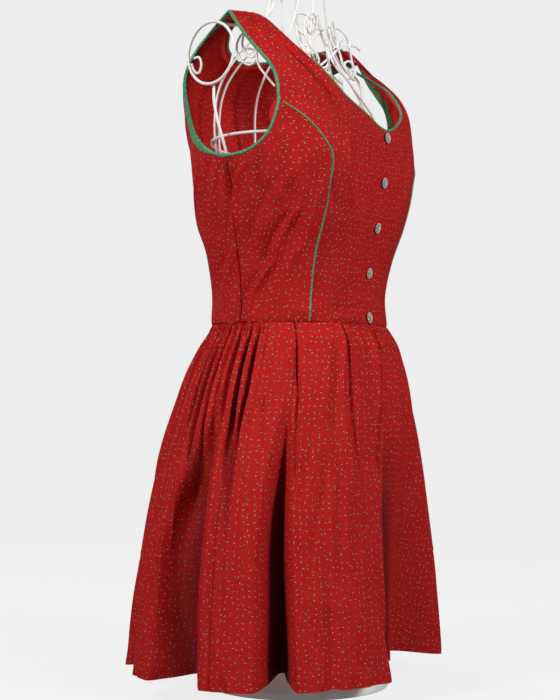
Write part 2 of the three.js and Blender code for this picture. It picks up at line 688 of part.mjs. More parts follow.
// Sections of the form, all well inside the cloth.
const FORM = [
  { z: 440, halfWidth: 122, front: 102, back: 104 },
  { z: 498, halfWidth: 120, front: 98, back: 96 },
  { z: 540, halfWidth: 118, front: 94, back: 93 },
  { z: 600, halfWidth: 124, front: 101, back: 99 },
  { z: 680, halfWidth: 138, front: 116, back: 106 },
  { z: 750, halfWidth: 146, front: 118, back: 110 },
  { z: 800, halfWidth: 144, front: 100, back: 112 },
  { z: 850, halfWidth: 122, front: 62, back: 98 },
  { z: 890, halfWidth: 90, front: 44, back: 62 },
  { z: 915, halfWidth: 70, front: 42, back: 46 },
  { z: 940, halfWidth: 56, front: 42, back: 44 },
  { z: 974, halfWidth: 46, front: 40, back: 42 },
];
const RIB_TURNS = [20, 52, 128, 160];
const RIB_HEIGHTS = [448, 498, 540, 600, 660, 720, 780, 830, 865, 890, 912, 940, 968];
const HOOP_HEIGHTS = [444, 748];
const NECK_RING = 974;
const ARM_RING = { x: 173, y: 33, z: 846, radius: 39, lean: 10 };
const SIDE_RIB_HEIGHTS = [450, 500, 560, 640, 720, 780, 804];
const SHOULDER_WIRE = [
  { x: 56, y: 0, z: 950 },
  { x: 72, y: 2, z: 925 },
  { x: 100, y: 5, z: 904 },
  { x: 125, y: 12, z: 895 },
  { x: 144, y: 16, z: 888 },
  { x: 168, y: 18, z: 880 },
];
// An S scroll with a curl at each end: across and up from its middle.
const SCROLL = [
  { across: 3, up: 20 },
  { across: 7, up: 15 },
  { across: 2, up: 9 },
  { across: -7, up: 12 },
  { across: -11, up: 24 },
  { across: -4, up: 36 },
  { across: 8, up: 36 },
  { across: 14, up: 24 },
  { across: 12, up: 8 },
  { across: 2, up: -10 },
  { across: -7, up: -22 },
  { across: -6, up: -35 },
  { across: 4, up: -41 },
  { across: 12, up: -35 },
  { across: 11, up: -25 },
  { across: 4, up: -24 },
];
const SCROLL_MIDDLE = 890;
const SCROLL_TURN = 25;
const SCROLL_SPREAD = 0.7; // degrees of turn for each mm across
const SCROLL_RADIUS = 1.7;

function formPoint(turn, z, inset = 0) {
  const angle = radians(turn);
  const width = along(FORM, 'z', z, 'halfWidth') - inset;
  const depth = along(FORM, 'z', z, Math.cos(angle) > 0 ? 'front' : 'back') - inset;
  return new THREE.Vector3(width * Math.sin(angle), -depth * Math.cos(angle), z);
}

// A round wire along a list of points.
function wire(name, points, closed = false, radius = WIRE) {
  const count = points.length;
  const sides = 5;
  let across = null;
  const rings = points.map((point, i) => {
    const before = points[closed ? (i + count - 1) % count : Math.max(i - 1, 0)];
    const after = points[closed ? (i + 1) % count : Math.min(i + 1, count - 1)];
    const tangent = after.clone().sub(before).normalize();
    if (!across) {
      const start = Math.abs(tangent.z) < 0.9 ? new THREE.Vector3(0, 0, 1) : new THREE.Vector3(1, 0, 0);
      across = start.sub(tangent.clone().multiplyScalar(start.dot(tangent)));
    }
    across.sub(tangent.clone().multiplyScalar(across.dot(tangent))).normalize();
    const other = tangent.clone().cross(across);
    return steps(sides).slice(0, -1).map((f) => point.clone()
      .addScaledVector(across, radius * Math.cos(f * 2 * Math.PI))
      .addScaledVector(other, radius * Math.sin(f * 2 * Math.PI)));
  });
  const circle = [];
  for (let i = 0; i < sides; i += 1) {
    const angle = (-i / sides) * 2 * Math.PI;
    circle.push(corner(Math.cos(angle), Math.sin(angle)));
  }
  const reversed = rings.map((ring) => ring.slice().reverse());
  return sweep(name, reversed, circle, closed, WHITE);
}

const formMesh = (name, geometry, x, y, z) => {
  const mesh = new THREE.Mesh(geometry, WHITE);
  mesh.name = name;
  mesh.position.set(x, y, z);
  return mesh;
};

function addForm() {
  const clearance = 2 * WIRE + 3 * GAP;
  const foot = new THREE.LatheGeometry([
    new THREE.Vector2(0, 0),
    new THREE.Vector2(FOOT_RADIUS, 0),
    new THREE.Vector2(FOOT_RADIUS, FOOT_HEIGHT * 0.6),
    new THREE.Vector2(FOOT_RADIUS - 4, FOOT_HEIGHT),
    new THREE.Vector2(0, FOOT_HEIGHT),
  ], 32);
  foot.rotateX(Math.PI / 2);
  group.add(formMesh('form_foot', foot, 0, 0, 0));
  const poleTop = HOOP_HEIGHTS[0] - 2;
  const pole = new THREE.CylinderGeometry(POLE_RADIUS, POLE_RADIUS, poleTop - FOOT_HEIGHT - GAP, 12);
  pole.rotateX(Math.PI / 2);
  group.add(formMesh('form_pole', pole, 0, 0, (poleTop + FOOT_HEIGHT + GAP) / 2));
  HOOP_HEIGHTS.forEach((z, i) => {
    const points = steps(28).slice(0, -1).map((f) => formPoint(f * 360, z));
    group.add(wire(`form_hoop_${i + 1}`, points, true));
  });
  for (const [i, turn] of [0, 90, 180, 270].entries()) {
    const edge = formPoint(turn + 36, HOOP_HEIGHTS[0], clearance);
    const hub = edge.clone().multiplyScalar((POLE_RADIUS + WIRE + GAP) / Math.hypot(edge.x, edge.y));
    hub.z = poleTop - 30;
    edge.z = poleTop + 2;
    group.add(wire(`form_spoke_${i + 1}`, [hub, edge]));
  }
  for (const side of [-1, 1]) {
    const hand = side < 0 ? 'right' : 'left';
    RIB_TURNS.forEach((turn, i) => {
      const points = RIB_HEIGHTS.map((z) => formPoint(turn * side, z, clearance));
      group.add(wire(`form_rib_${hand}_${i + 1}`, points));
    });
    const lean = radians(ARM_RING.lean);
    const ring = steps(18).slice(0, -1).map((f) => {
      const across = Math.cos(f * 2 * Math.PI) * ARM_RING.radius;
      const up = Math.sin(f * 2 * Math.PI) * ARM_RING.radius;
      return new THREE.Vector3(
        side * (ARM_RING.x - across * Math.sin(lean)),
        ARM_RING.y + across * Math.cos(lean),
        ARM_RING.z + up,
      );
    });
    group.add(wire(`form_arm_ring_${hand}`, side < 0 ? ring : ring.reverse(), true));
    const sideRib = SIDE_RIB_HEIGHTS.map((z) => {
      const f = smooth((z - 640) / 160);
      const point = formPoint(96 * side, Math.min(z, 800), clearance);
      point.z = z;
      point.x = mix(point.x, side * ARM_RING.x, f * 0.8);
      point.y = mix(point.y, ARM_RING.y, f);
      return point;
    });
    group.add(wire(`form_side_rib_${hand}`, sideRib));
    const over = SHOULDER_WIRE.map(({ x, y, z }) => new THREE.Vector3(x * side, y, z));
    group.add(wire(`form_shoulder_${hand}`, over));
    const curve = new THREE.CatmullRomCurve3(SCROLL.map(({ across, up }) => formPoint(
      side * (SCROLL_TURN + across * SCROLL_SPREAD),
      SCROLL_MIDDLE + up,
      -SCROLL_RADIUS - WIRE / 2,
    )));
    group.add(wire(`form_scroll_${hand}`, curve.getPoints(34), false, SCROLL_RADIUS));
  }
  const neck = steps(20).slice(0, -1).map((f) => formPoint(f * 360, NECK_RING));
  group.add(wire('form_neck_ring', neck, true));
}
addForm();

export default group;
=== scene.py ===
# A short sleeveless dirndl of small-printed red cotton, on a white wire dress form.
import math

import bmesh
import bpy
import numpy as np
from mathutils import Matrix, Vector
from mathutils.bvhtree import BVHTree


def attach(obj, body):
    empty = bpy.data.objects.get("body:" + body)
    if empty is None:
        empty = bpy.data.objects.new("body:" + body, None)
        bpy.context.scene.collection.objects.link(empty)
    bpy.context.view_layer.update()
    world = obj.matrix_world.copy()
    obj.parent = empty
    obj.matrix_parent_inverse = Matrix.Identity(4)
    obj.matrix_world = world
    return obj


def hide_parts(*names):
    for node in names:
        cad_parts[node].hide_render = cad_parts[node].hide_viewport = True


# The dress's frame and the studio. A seamless pale sweep stands behind the
# form, a soft key comes from the left and above, and a fill nearly as strong from
# the right. The camera looks at the wearer's right side and front.
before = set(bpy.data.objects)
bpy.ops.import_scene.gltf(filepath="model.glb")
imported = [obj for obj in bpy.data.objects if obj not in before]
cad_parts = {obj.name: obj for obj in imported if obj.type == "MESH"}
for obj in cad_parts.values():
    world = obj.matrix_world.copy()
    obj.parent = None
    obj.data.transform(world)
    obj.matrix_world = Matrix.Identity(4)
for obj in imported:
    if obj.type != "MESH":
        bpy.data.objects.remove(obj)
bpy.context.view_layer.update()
bpy.ops.object.select_all(action="DESELECT")

VIEW_TURN = math.radians(-60)
VIEW_DISTANCE = 2.116
EYE_HEIGHT = 0.394
LENS_PIXELS = 1511.0
FRAME_PIXELS = 700.0
AIM_PIXELS = (18, 50)
SENSOR_WIDTH = 36.0
MIDDLE = Vector((0, 0, 0.5))
SWEEP_HALF_WIDTH = 5.0
SWEEP_REACH = 1.4
SWEEP = [(-1.6, 0.0), (1.6, 0.0), (2.2, 0.05), (2.7, 0.3), (2.95, 0.8), (3.0, 1.6), (3.0, 4.0)]

toward = Vector((math.sin(VIEW_TURN), -math.cos(VIEW_TURN), 0))
sideways = Vector((math.cos(VIEW_TURN), math.sin(VIEW_TURN), 0))


def new_object(name, data):
    thing = bpy.data.objects.new(name, data)
    bpy.context.scene.collection.objects.link(thing)
    return thing


def new_material(name):
    material = bpy.data.materials.new(name)
    material.use_nodes = True
    tree = material.node_tree
    return material, tree, tree.nodes["Principled BSDF"]


def set_values(node, **values):
    """Set inputs of a node by their labels, with _ for each space."""
    for label, value in values.items():
        node.inputs[label.replace("_", " ")].default_value = value


def soft_light(name, ahead, across, up, size, watts, colour=(1.0, 1.0, 1.0)):
    data = bpy.data.lights.new(name, "AREA")
    data.shape = "RECTANGLE"
    data.size, data.size_y = size
    data.energy = watts
    data.color = colour
    lamp = new_object(name, data)
    lamp.location = toward * ahead + sideways * across + Vector((0, 0, up))
    lamp.rotation_euler = (MIDDLE - lamp.location).to_track_quat("-Z", "Y").to_euler()


def glow(tree, socket, lit, seen):
    """A strength that lights the dress by one amount and looks as bright as another."""
    path = tree.nodes.new("ShaderNodeLightPath")
    share = tree.nodes.new("ShaderNodeMapRange")
    set_values(share, To_Min=lit, To_Max=seen)
    tree.links.new(path.outputs["Is Camera Ray"], share.inputs["Value"])
    tree.links.new(share.outputs["Result"], socket)


yaw, pitch = (math.atan(pixels / LENS_PIXELS) for pixels in AIM_PIXELS)
look = (-toward * math.cos(yaw) - sideways * math.sin(yaw)) * math.cos(pitch)
look.z = math.sin(pitch)
camera_data = bpy.data.cameras.new("camera")
camera_data.lens = SENSOR_WIDTH * LENS_PIXELS / FRAME_PIXELS
camera_data.sensor_width = SENSOR_WIDTH
camera = new_object("camera", camera_data)
camera.location = toward * VIEW_DISTANCE + Vector((0, 0, EYE_HEIGHT))
camera.rotation_euler = look.to_track_quat("-Z", "Y").to_euler()
bpy.context.scene.camera = camera
bpy.context.scene.view_settings.view_transform = "Standard"

soft_light("key", 1.65, -1.75, 1.9, (0.45, 0.45), 52, (1.0, 0.985, 0.96))
soft_light("fill", 1.5, 1.8, 1.5, (0.5, 0.6), 44, (0.97, 0.98, 1.0))
soft_light("back", -1.5, -1.2, 2.2, (1.0, 1.0), 16)

world = bpy.data.worlds.new("studio")
bpy.context.scene.world = world
world.use_nodes = True
sky = world.node_tree.nodes["Background"]
set_values(sky, Color=(1, 1, 1, 1))
glow(world.node_tree, sky.inputs["Strength"], 0.06, 0.85)

sweep_data = bpy.data.meshes.new("floor")
corners = []
for away, up in SWEEP:
    for across in (-SWEEP_HALF_WIDTH, SWEEP_HALF_WIDTH):
        corners.append(-toward * away * SWEEP_REACH + sideways * across + Vector((0, 0, up)))
sweep_faces = [(2 * i, 2 * i + 2, 2 * i + 3, 2 * i + 1) for i in range(len(SWEEP) - 1)]
sweep_data.from_pydata([tuple(c) for c in corners], [], sweep_faces)
floor = new_object("floor", sweep_data)
paper, paper_tree, paper_shader = new_material("studio_paper")
set_values(paper_shader, Base_Color=(0.1, 0.1, 0.1, 1), Roughness=1.0, Specular_IOR_Level=0.0,
           Emission_Color=(1, 1, 1, 1))
glow(paper_tree, paper_shader.inputs["Emission Strength"], 0.05, 0.82)
sweep_data.materials.append(paper)

# The cloth: a crisp plain-weave cotton, red, with a small bud print tossed in
# all directions. It is printed on the face alone, and the reverse is a dull red,
# painted much brighter than the face as light on the inside of the bodice, where the print only shows
# through as faint specks. In the skirt's deep folds and gathers the face is painted darker as shade.
BUD_PITCH = 8.2
WEAVE_PITCH = 0.42
WEAVE_HEIGHT = 0.00018
FULL_TURN = 6.283
IN_MM = (1000.0, 1000.0, 1000.0)


def new_group(name, inputs, outputs):
    group = bpy.data.node_groups.new(name, "ShaderNodeTree")
    for label, kind in inputs:
        group.interface.new_socket(label, in_out="INPUT", socket_type=kind)
    for label, kind in outputs:
        group.interface.new_socket(label, in_out="OUTPUT", socket_type=kind)
    return group, group.nodes.new("NodeGroupInput"), group.nodes.new("NodeGroupOutput")


def put(tree, kind, **settings):
    node = tree.nodes.new(kind)
    for key, value in settings.items():
        setattr(node, key, value)
    return node


def wire_up(tree, source, node, socket):
    if isinstance(source, (int, float, tuple)):
        node.inputs[socket].default_value = source
    else:
        tree.links.new(source, node.inputs[socket])


def maths(tree, operation, a, b=0.0, clamp=False):
    node = put(tree, "ShaderNodeMath", operation=operation, use_clamp=clamp)
    wire_up(tree, a, node, 0)
    wire_up(tree, b, node, 1)
    return node.outputs[0]


def vectors(tree, operation, a, b=(0.0, 0.0, 0.0)):
    node = put(tree, "ShaderNodeVectorMath", operation=operation)
    wire_up(tree, a, node, 0)
    wire_up(tree, b, node, 1)
    return node


def blend_colour(tree, share, a, b):
    node = put(tree, "ShaderNodeMix", data_type="RGBA")
    wire_up(tree, share, node, 0)
    wire_up(tree, a, node, 6)
    wire_up(tree, b, node, 7)
    return node.outputs[2]


def stretch(tree, value, low, high, to_low=0.0, to_high=1.0):
    node = put(tree, "ShaderNodeMapRange", interpolation_type="SMOOTHSTEP")
    wire_up(tree, value, node, 0)
    for socket, number in zip((1, 2, 3, 4), (low, high, to_low, to_high)):
        node.inputs[socket].default_value = number
    return node.outputs[0]


def noise(tree, at, scale, detail=2.0, dimensions="3D"):
    node = put(tree, "ShaderNodeTexNoise", noise_dimensions=dimensions)
    set_values(node, Scale=scale, Detail=detail)
    tree.links.new(at, node.inputs["Vector"])
    return node.outputs[0]


def cells(tree, at, scale, randomness):
    node = put(tree, "ShaderNodeTexVoronoi", voronoi_dimensions="2D")
    set_values(node, Randomness=randomness)
    tree.links.new(at, node.inputs["Vector"])
    tree.links.new(scale, node.inputs["Scale"])
    return node


def turned(tree, at, angle):
    node = put(tree, "ShaderNodeVectorRotate", rotation_type="Z_AXIS")
    tree.links.new(at, node.inputs["Vector"])
    wire_up(tree, angle, node, "Angle")
    return node.outputs[0]


def bump(tree, shader, height, strength, distance):
    node = put(tree, "ShaderNodeBump")
    set_values(node, Strength=strength, Distance=distance)
    tree.links.new(height, node.inputs["Height"])
    tree.links.new(node.outputs[0], shader.inputs["Normal"])


def coat(tree, shader, colour, rough=None):
    tree.links.new(colour, shader.inputs["Base Color"])
    if rough is not None:
        tree.links.new(rough, shader.inputs["Roughness"])


def use_group(tree, group, cloth, pitch):
    node = put(tree, "ShaderNodeGroup", node_tree=group)
    tree.links.new(cloth, node.inputs["Cloth"])
    set_values(node, Pitch=pitch)
    return node


def ellipse(tree, at, centre, radii, soft):
    """A mask of an ellipse in the plane of the print, in millimetres."""
    moved = vectors(tree, "SUBTRACT", at, (centre[0], centre[1], 0.0)).outputs[0]
    scaled = vectors(tree, "DIVIDE", moved, (radii[0], radii[1], 1.0)).outputs[0]
    length = vectors(tree, "LENGTH", scaled).outputs["Value"]
    return stretch(tree, length, 1.0 + soft, 1.0 - soft)


def bud_print_group():
    """Masks of the print: a pale comma, the dark dot that it holds, and faint ground specks."""
    group, source, result = new_group(
        "bud_print",
        [("Cloth", "NodeSocketVector"), ("Pitch", "NodeSocketFloat")],
        [("Comma", "NodeSocketFloat"), ("Dot", "NodeSocketFloat"), ("Speck", "NodeSocketFloat")],
    )
    cloth = source.outputs["Cloth"]
    scale = maths(group, "DIVIDE", 1.0, source.outputs["Pitch"])
    print_cells = cells(group, cloth, scale, 0.72)
    local = vectors(group, "SUBTRACT", cloth, print_cells.outputs["Position"]).outputs[0]
    chance = put(group, "ShaderNodeSeparateColor")
    group.links.new(print_cells.outputs["Color"], chance.inputs[0])
    bud = turned(group, local, maths(group, "MULTIPLY", chance.outputs[0], FULL_TURN))
    body = ellipse(group, bud, (0.05, 0.1), (1.08, 1.15), 0.2)
    bite = ellipse(group, bud, (-0.35, -0.15), (1.0, 1.05), 0.2)
    comma = maths(group, "SUBTRACT", body, bite, clamp=True)
    comma = maths(group, "MULTIPLY", comma, stretch(group, chance.outputs[1], 0.0, 0.7, 0.42, 1.0))
    dot = ellipse(group, bud, (-0.35, -0.15), (1.12, 1.2), 0.22)
    dot = maths(group, "MULTIPLY", dot, stretch(group, chance.outputs[2], 0.0, 0.6, 0.55, 1.0))
    group.links.new(comma, result.inputs["Comma"])
    group.links.new(dot, result.inputs["Dot"])
    ground = cells(group, cloth, maths(group, "MULTIPLY", scale, 2.2), 0.35)
    away = maths(group, "MULTIPLY", ground.outputs["Distance"], source.outputs["Pitch"])
    group.links.new(stretch(group, away, 1.75, 0.9), result.inputs["Speck"])
    return group


def plain_weave_group():
    """Height and shade of threads over and under each other, and of slubs among them."""
    group, source, result = new_group(
        "plain_weave",
        [("Cloth", "NodeSocketVector"), ("Pitch", "NodeSocketFloat")],
        [("Height", "NodeSocketFloat"), ("Shade", "NodeSocketFloat")],
    )
    cloth = source.outputs["Cloth"]
    parts = put(group, "ShaderNodeSeparateXYZ")
    group.links.new(cloth, parts.inputs[0])
    turn = maths(group, "DIVIDE", math.pi, source.outputs["Pitch"])
    warp = maths(group, "SINE", maths(group, "MULTIPLY", parts.outputs[0], turn))
    weft = maths(group, "SINE", maths(group, "MULTIPLY", parts.outputs[1], turn))
    height = maths(group, "MULTIPLY", warp, weft)
    long = vectors(group, "MULTIPLY", cloth, (1.0, 0.14, 1.0)).outputs[0]
    slubs = noise(group, long, 0.9, 4.0, "2D")
    group.links.new(maths(group, "ADD", height, slubs), result.inputs["Height"])
    group.links.new(slubs, result.inputs["Shade"])
    return group


bud_print = bud_print_group()
plain_weave = plain_weave_group()


def cloth_start(name):
    """A new cloth material with its shader and a UV in millimetres."""
    material, tree, shader = new_material(name)
    uv = put(tree, "ShaderNodeUVMap", uv_map="cloth")
    cloth = vectors(tree, "MULTIPLY", uv.outputs[0], IN_MM).outputs[0]
    return material, tree, shader, cloth


def weave_bump(tree, shader, cloth, pitch, strength, extra=0.0):
    weave = use_group(tree, plain_weave, cloth, pitch)
    height = maths(tree, "ADD", weave.outputs["Height"], extra)
    bump(tree, shader, height, strength, WEAVE_HEIGHT)
    return weave.outputs["Shade"]


def printed_cotton():
    material, tree, shader, cloth = cloth_start("printed_cotton")
    rumple = maths(tree, "MULTIPLY", noise(tree, cloth, 0.055, 2.5, "2D"), 5.0)
    threads = weave_bump(tree, shader, cloth, WEAVE_PITCH, 0.5, rumple)
    shade = stretch(tree, threads, 0.3, 0.75)
    buds = use_group(tree, bud_print, cloth, BUD_PITCH)
    ground = blend_colour(tree, shade, (0.44, 0.0055, 0.006, 1), (0.56, 0.009, 0.008, 1))
    speck = maths(tree, "MULTIPLY", buds.outputs["Speck"], 0.4)
    ground = blend_colour(tree, speck, ground, (0.22, 0.004, 0.006, 1))
    worn = stretch(tree, noise(tree, cloth, 0.02), 0.35, 0.7, 0.0, 0.22)
    ground = blend_colour(tree, worn, ground, (0.62, 0.02, 0.016, 1))
    with_dot = blend_colour(tree, buds.outputs["Dot"], ground, (0.035, 0.022, 0.014, 1))
    colour = blend_colour(tree, buds.outputs["Comma"], with_dot, (0.70, 0.50, 0.30, 1))
    # Painted shade: where the fold_depth attribute is high, in the skirt's deep folds and gathers, the
    # colour goes to a near black red.
    deep = put(tree, "ShaderNodeAttribute", attribute_name="fold_depth")
    colour = blend_colour(tree, deep.outputs["Fac"], colour, (0.055, 0.001, 0.003, 1))
    coat(tree, shader, colour, stretch(tree, threads, 0.2, 0.8, 0.55, 0.72))
    set_values(shader, Specular_IOR_Level=0.14, Sheen_Weight=0.015, Sheen_Roughness=0.4,
               Sheen_Tint=(1.0, 0.55, 0.5, 1))
    return material


def cotton_reverse():
    material, tree, shader, cloth = cloth_start("cotton_reverse")
    shade = stretch(tree, weave_bump(tree, shader, cloth, WEAVE_PITCH, 0.5), 0.3, 0.75)
    buds = use_group(tree, bud_print, cloth, BUD_PITCH)
    # Partly painted light: the reverse's own colour is a plain red, and it is made much brighter than
    # the face to stand in for light on the inside of the bodice.
    colour = blend_colour(tree, shade, (0.84, 0.010, 0.015, 1), (0.95, 0.016, 0.020, 1))
    marks = (("Comma", 0.1, (0.62, 0.24, 0.18, 1)), ("Dot", 0.2, (0.12, 0.01, 0.012, 1)))
    for mask, share, tint in marks:
        faint = maths(tree, "MULTIPLY", buds.outputs[mask], share)
        colour = blend_colour(tree, faint, colour, tint)
    coat(tree, shader, colour)
    set_values(shader, Roughness=0.8, Sheen_Weight=0.15, Sheen_Tint=(1.0, 0.6, 0.55, 1))
    return material


cotton = printed_cotton()
reverse = cotton_reverse()

# The bodice: two fronts cut as princess panels, two side fronts and one back,
# shaped over the bust and waist, their seams pressed. The cloth
# pulls in soft folds from the armholes, the neck and the waist.
WAIST = 498.0
SHOULDER = 915.0
UNDERARM = 716.0
PRINCESS_TOP = 786.0
NECK_FRONT_LOW = 760.0
NECK_BACK_LOW = 882.0
SIDE_SEAM = 96.0
SHOULDER_SLOPE = 0.17
NECK_AT_SHOULDER = 118.0
BACK_SQUARENESS = 0.4
SEAM_TOP = 880.0
LAP = 13.0
UNDERLAP = 2.4
CLOTH_WALL = 1.5
MM = 0.001
BODICE_MM_PER_TURN = 2.45
RIGHT_FOLDS = 1.9
LEFT_FOLDS = 1.1
SIDE_LAP = 0.8
SIDE_TUCK = 1.8
FRONT_COUNTS = (110, 120)
SIDE_COUNTS = (56, 80)
BACK_COUNTS = (190, 120)

# z, half width, front depth, back depth, squareness, fullness
BODICE = np.array([
    (498, 135, 112, 110, 0.25, 0.03),
    (540, 134, 109, 108, 0.27, 0.03),
    (590, 140, 115, 114, 0.35, 0.04),
    (640, 150, 127, 124, 0.45, 0.05),
    (690, 160, 135, 129, 0.5, 0.06),
    (716, 165, 138, 131, 0.48, 0.06),
    (759, 169, 139, 138, 0.4, 0.035),
    (784, 170, 131, 143, 0.42, 0.03),
    (809, 171, 120, 146, 0.46, 0.02),
    (831, 173, 103, 144, 0.5, 0.01),
    (850, 176, 83, 135, 0.48, 0),
    (869, 179, 62, 118, 0.42, 0),
    (886, 181, 44, 93, 0.4, 0),
    (900, 182, 29, 62, 0.35, 0),
    (910, 183, 14, 30, 0.25, 0),
    (915, 183, 0.2, 0.2, 0.1, 0),
])
FRONT_PANEL = np.array([
    (498, 109), (540, 105.5), (590, 109.5), (640, 114.5), (690, 118.5), (712, 121), (724, 126),
    (743, 136.5), (758, 145), (773, 154), (786, 160.5), (807, 160.5), (831, 161.6), (854, 166),
    (874, 171.5), (896, 177), (915, 181),
])
NECK_FRONT = np.array([
    (760, 0), (766, 24), (775, 46), (785, 65), (800, 88), (820, 102), (840, 108), (860, 109),
    (880, 110.5), (895, 113), (915, 118),
])
NECK_BACK = np.array([(882, 0), (888, 44), (896, 78), (904, 102), (910, 113), (915, 118)])
ARMHOLE_FRONT = np.array([
    (716, 96), (719.4, 86.4), (729.3, 80), (745.8, 74.7), (766, 71.4), (786, 69),
])
ARMHOLE_BACK = np.array([
    (716, 96), (721, 103), (735, 113.5), (750, 120), (770, 123.5), (798, 125.5), (827, 127.5),
    (850, 127), (869, 123.5), (886, 118), (900, 112), (915, 98.5),
])


def smooth(f):
    f = np.clip(f, 0.0, 1.0)
    return f * f * (3 - 2 * f)


def bell(x, width):
    return np.exp(-((x / width) ** 2))


def along(rows, value, column=1):
    """A smooth curve through one column of a table, along its first."""
    z, c = rows[:, 0], rows[:, column]
    last = len(z) - 1
    value = np.asarray(value, float)
    i = np.clip(np.searchsorted(z, value) - 1, 0, last - 1)
    span = z[i + 1] - z[i]
    f = np.clip((value - z[i]) / span, 0.0, 1.0)
    before, after = np.maximum(i - 1, 0), np.minimum(i + 2, last)
    slope_a = (c[i + 1] - c[before]) / (z[i + 1] - z[before]) * span
    slope_b = (c[after] - c[i]) / (z[after] - z[i]) * span
    f2, f3 = f * f, f * f * f
    ends = c[i] * (2 * f3 - 3 * f2 + 1) + c[i + 1] * (3 * f2 - 2 * f3)
    return ends + slope_a * (f3 - 2 * f2 + f) + slope_b * (f3 - f2)


def bodice_point(turn, z):
    turn, z = np.broadcast_arrays(np.asarray(turn, float), np.asarray(z, float))
    angle = np.radians(turn)
    is_front = np.cos(angle) > 0
    share = np.where(is_front, 1.0, BACK_SQUARENESS)
    width = along(BODICE, z, 1)
    depth = np.maximum(np.where(is_front, along(BODICE, z, 2), along(BODICE, z, 3)), 0.15)
    flat = along(BODICE, z, 4) * share
    full = along(BODICE, z, 5) * share
    sine = np.sin(angle)
    x = width * sine * (1 + full * np.sin(2 * angle) ** 2)
    y = -depth * np.cos(angle) * (1 + flat * sine * sine)
    fall = SHOULDER_SLOPE * np.maximum(np.abs(x) - NECK_AT_SHOULDER, 0)
    top = smooth((z - UNDERARM) / (SHOULDER - UNDERARM))
    return np.stack([x, y, z - fall * top], -1)


def unit(v):
    return v / np.maximum(np.linalg.norm(v, axis=-1, keepdims=True), 1e-9)


def half_turns(turn):
    """The same turns, from -180 to 180."""
    return np.where(turn > 180, turn - 360, turn)


def outward(surface, turn, z, low, high):
    """The unit vector out of a surface that is a function of turn and height."""
    round_ = surface(turn + 0.3, z) - surface(turn - 0.3, z)
    rise = surface(turn, np.minimum(z + 1.0, high)) - surface(turn, np.maximum(z - 1.0, low))
    return unit(np.cross(round_, rise))


def bodice_normal(turn, z):
    return outward(bodice_point, turn, z, WAIST, SHOULDER)


def turn_at(x, z):
    """The turn at which a section of the bodice is x wide."""
    low, high = np.zeros_like(z), np.full_like(z, 90.0)
    for _ in range(32):
        half = (low + high) / 2
        under = bodice_point(half, z)[..., 0] < np.abs(x)
        low, high = np.where(under, half, low), np.where(under, high, half)
    return np.sign(x) * low


def first_height(test, low, high):
    """The height at which a test along a line first turns true."""
    z = np.linspace(low, high, 900)
    true = np.nonzero(test(z))[0]
    return z[true[0]] if len(true) else high


# Soft folds in the bodice: turn and height of one end and of the other, half width and
# height out of the cloth in mm, less than 0 for a crease. The left has them less strong.
BODICE_FOLDS = [
    (-61, 648, -73, 577, 6.5, 2.6), (-73, 577, -92, 500, 7, 3), (-66, 640, -80, 566, 6, -2.4),
    (-80, 566, -96, 503, 5.5, -2.2), (-57, 600, -70, 520, 8, 1.2), (-93, 714, -95, 664, 3.6, -2.4),
    (-62, 700, -80, 600, 9, 1.5), (-70, 690, -88, 590, 7, -1.4), (-45, 690, -58, 560, 9, 1.1),
    (-86, 706, -94, 622, 4.5, 2.6), (-89.5, 704, -98, 618, 4, -2.4), (-79, 716, -78, 660, 5, -1.6),
    (-74, 722, -73, 655, 7, 1.3), (-101, 712, -107, 640, 5, 1.9), (-106, 716, -113, 640, 5, -1.5),
    (-95, 600, -112, 520, 8, 1.6), (-104, 590, -120, 530, 7, -1.4), (-34, 508, -7, 513, 6, 1.6),
    (-36, 519, -6, 523, 6, -1.3), (-60, 512, -40, 520, 6, 1), (-33, 748, -28, 655, 5.5, 1.8),
    (-28, 752, -23, 668, 5, -1.6), (-19, 742, -14, 668, 5, 1.7), (-14, 740, -9, 676, 4.5, -1.3),
    (-24, 700, -20, 620, 8, 1), (-48, 716, -38, 640, 8, -1.2), (-66, 762, -60, 652, 9, 1.4),
    (-57, 884, -42, 764, 6.5, 4.6), (-50, 880, -37, 780, 5, -3.4), (-72, 896, -58, 800, 7, 3),
    (-64, 850, -56, 780, 5, -1.1), (-48, 902, -66, 880, 5, -2), (-10, 560, -30, 545, 9, 0.9),
    (-120, 700, -140, 610, 9, 1.6), (-126, 690, -150, 590, 8, -1.3), (-135, 780, -160, 700, 9, 1.2),
    (-150, 560, -178, 530, 8, 1.3), (-150, 545, -178, 516, 7, -1.2), (-165, 860, -185, 830, 9, -1),
]


def fold_line(turn, z, fold, strength, mm_per_turn):
    """A fold that swells and dies along a line, steeper on its lower side."""
    turn_a, ay, turn_b, by, half_width, height = fold
    ax, bx = turn_a * mm_per_turn, turn_b * mm_per_turn
    px, py = turn * mm_per_turn, z
    length = math.hypot(bx - ax, by - ay)
    ux, uy = (bx - ax) / length, (by - ay) / length
    share = ((px - ax) * ux + (py - ay) * uy) / length
    bow = (0.06 if half_width > 3.4 else 0.012) * length * np.sin(np.pi * np.clip(share, 0, 1))
    off = (px - ax) * -uy + (py - ay) * ux + bow
    width = half_width * np.where(off > 0, 0.7, 1.35) * (0.7 + 0.6 * np.clip(share, 0, 1))
    fade = smooth((share + 0.12) / 0.3) * smooth((1.14 - share) / 0.4)
    return height * strength * fade * bell(off, width)


def ripple(turn, z, seed):
    """Small uneven ease in the cloth, in mm."""
    rng = np.random.default_rng(seed)
    total = np.zeros(np.broadcast(turn, z).shape)
    for _ in range(9):
        kx, kz = rng.uniform(-0.16, 0.16), rng.uniform(-0.05, 0.05)
        total = total + rng.uniform(0.05, 0.22) * np.sin(turn * 2.4 * kx + z * kz + rng.uniform(0, 6.3))
    return total


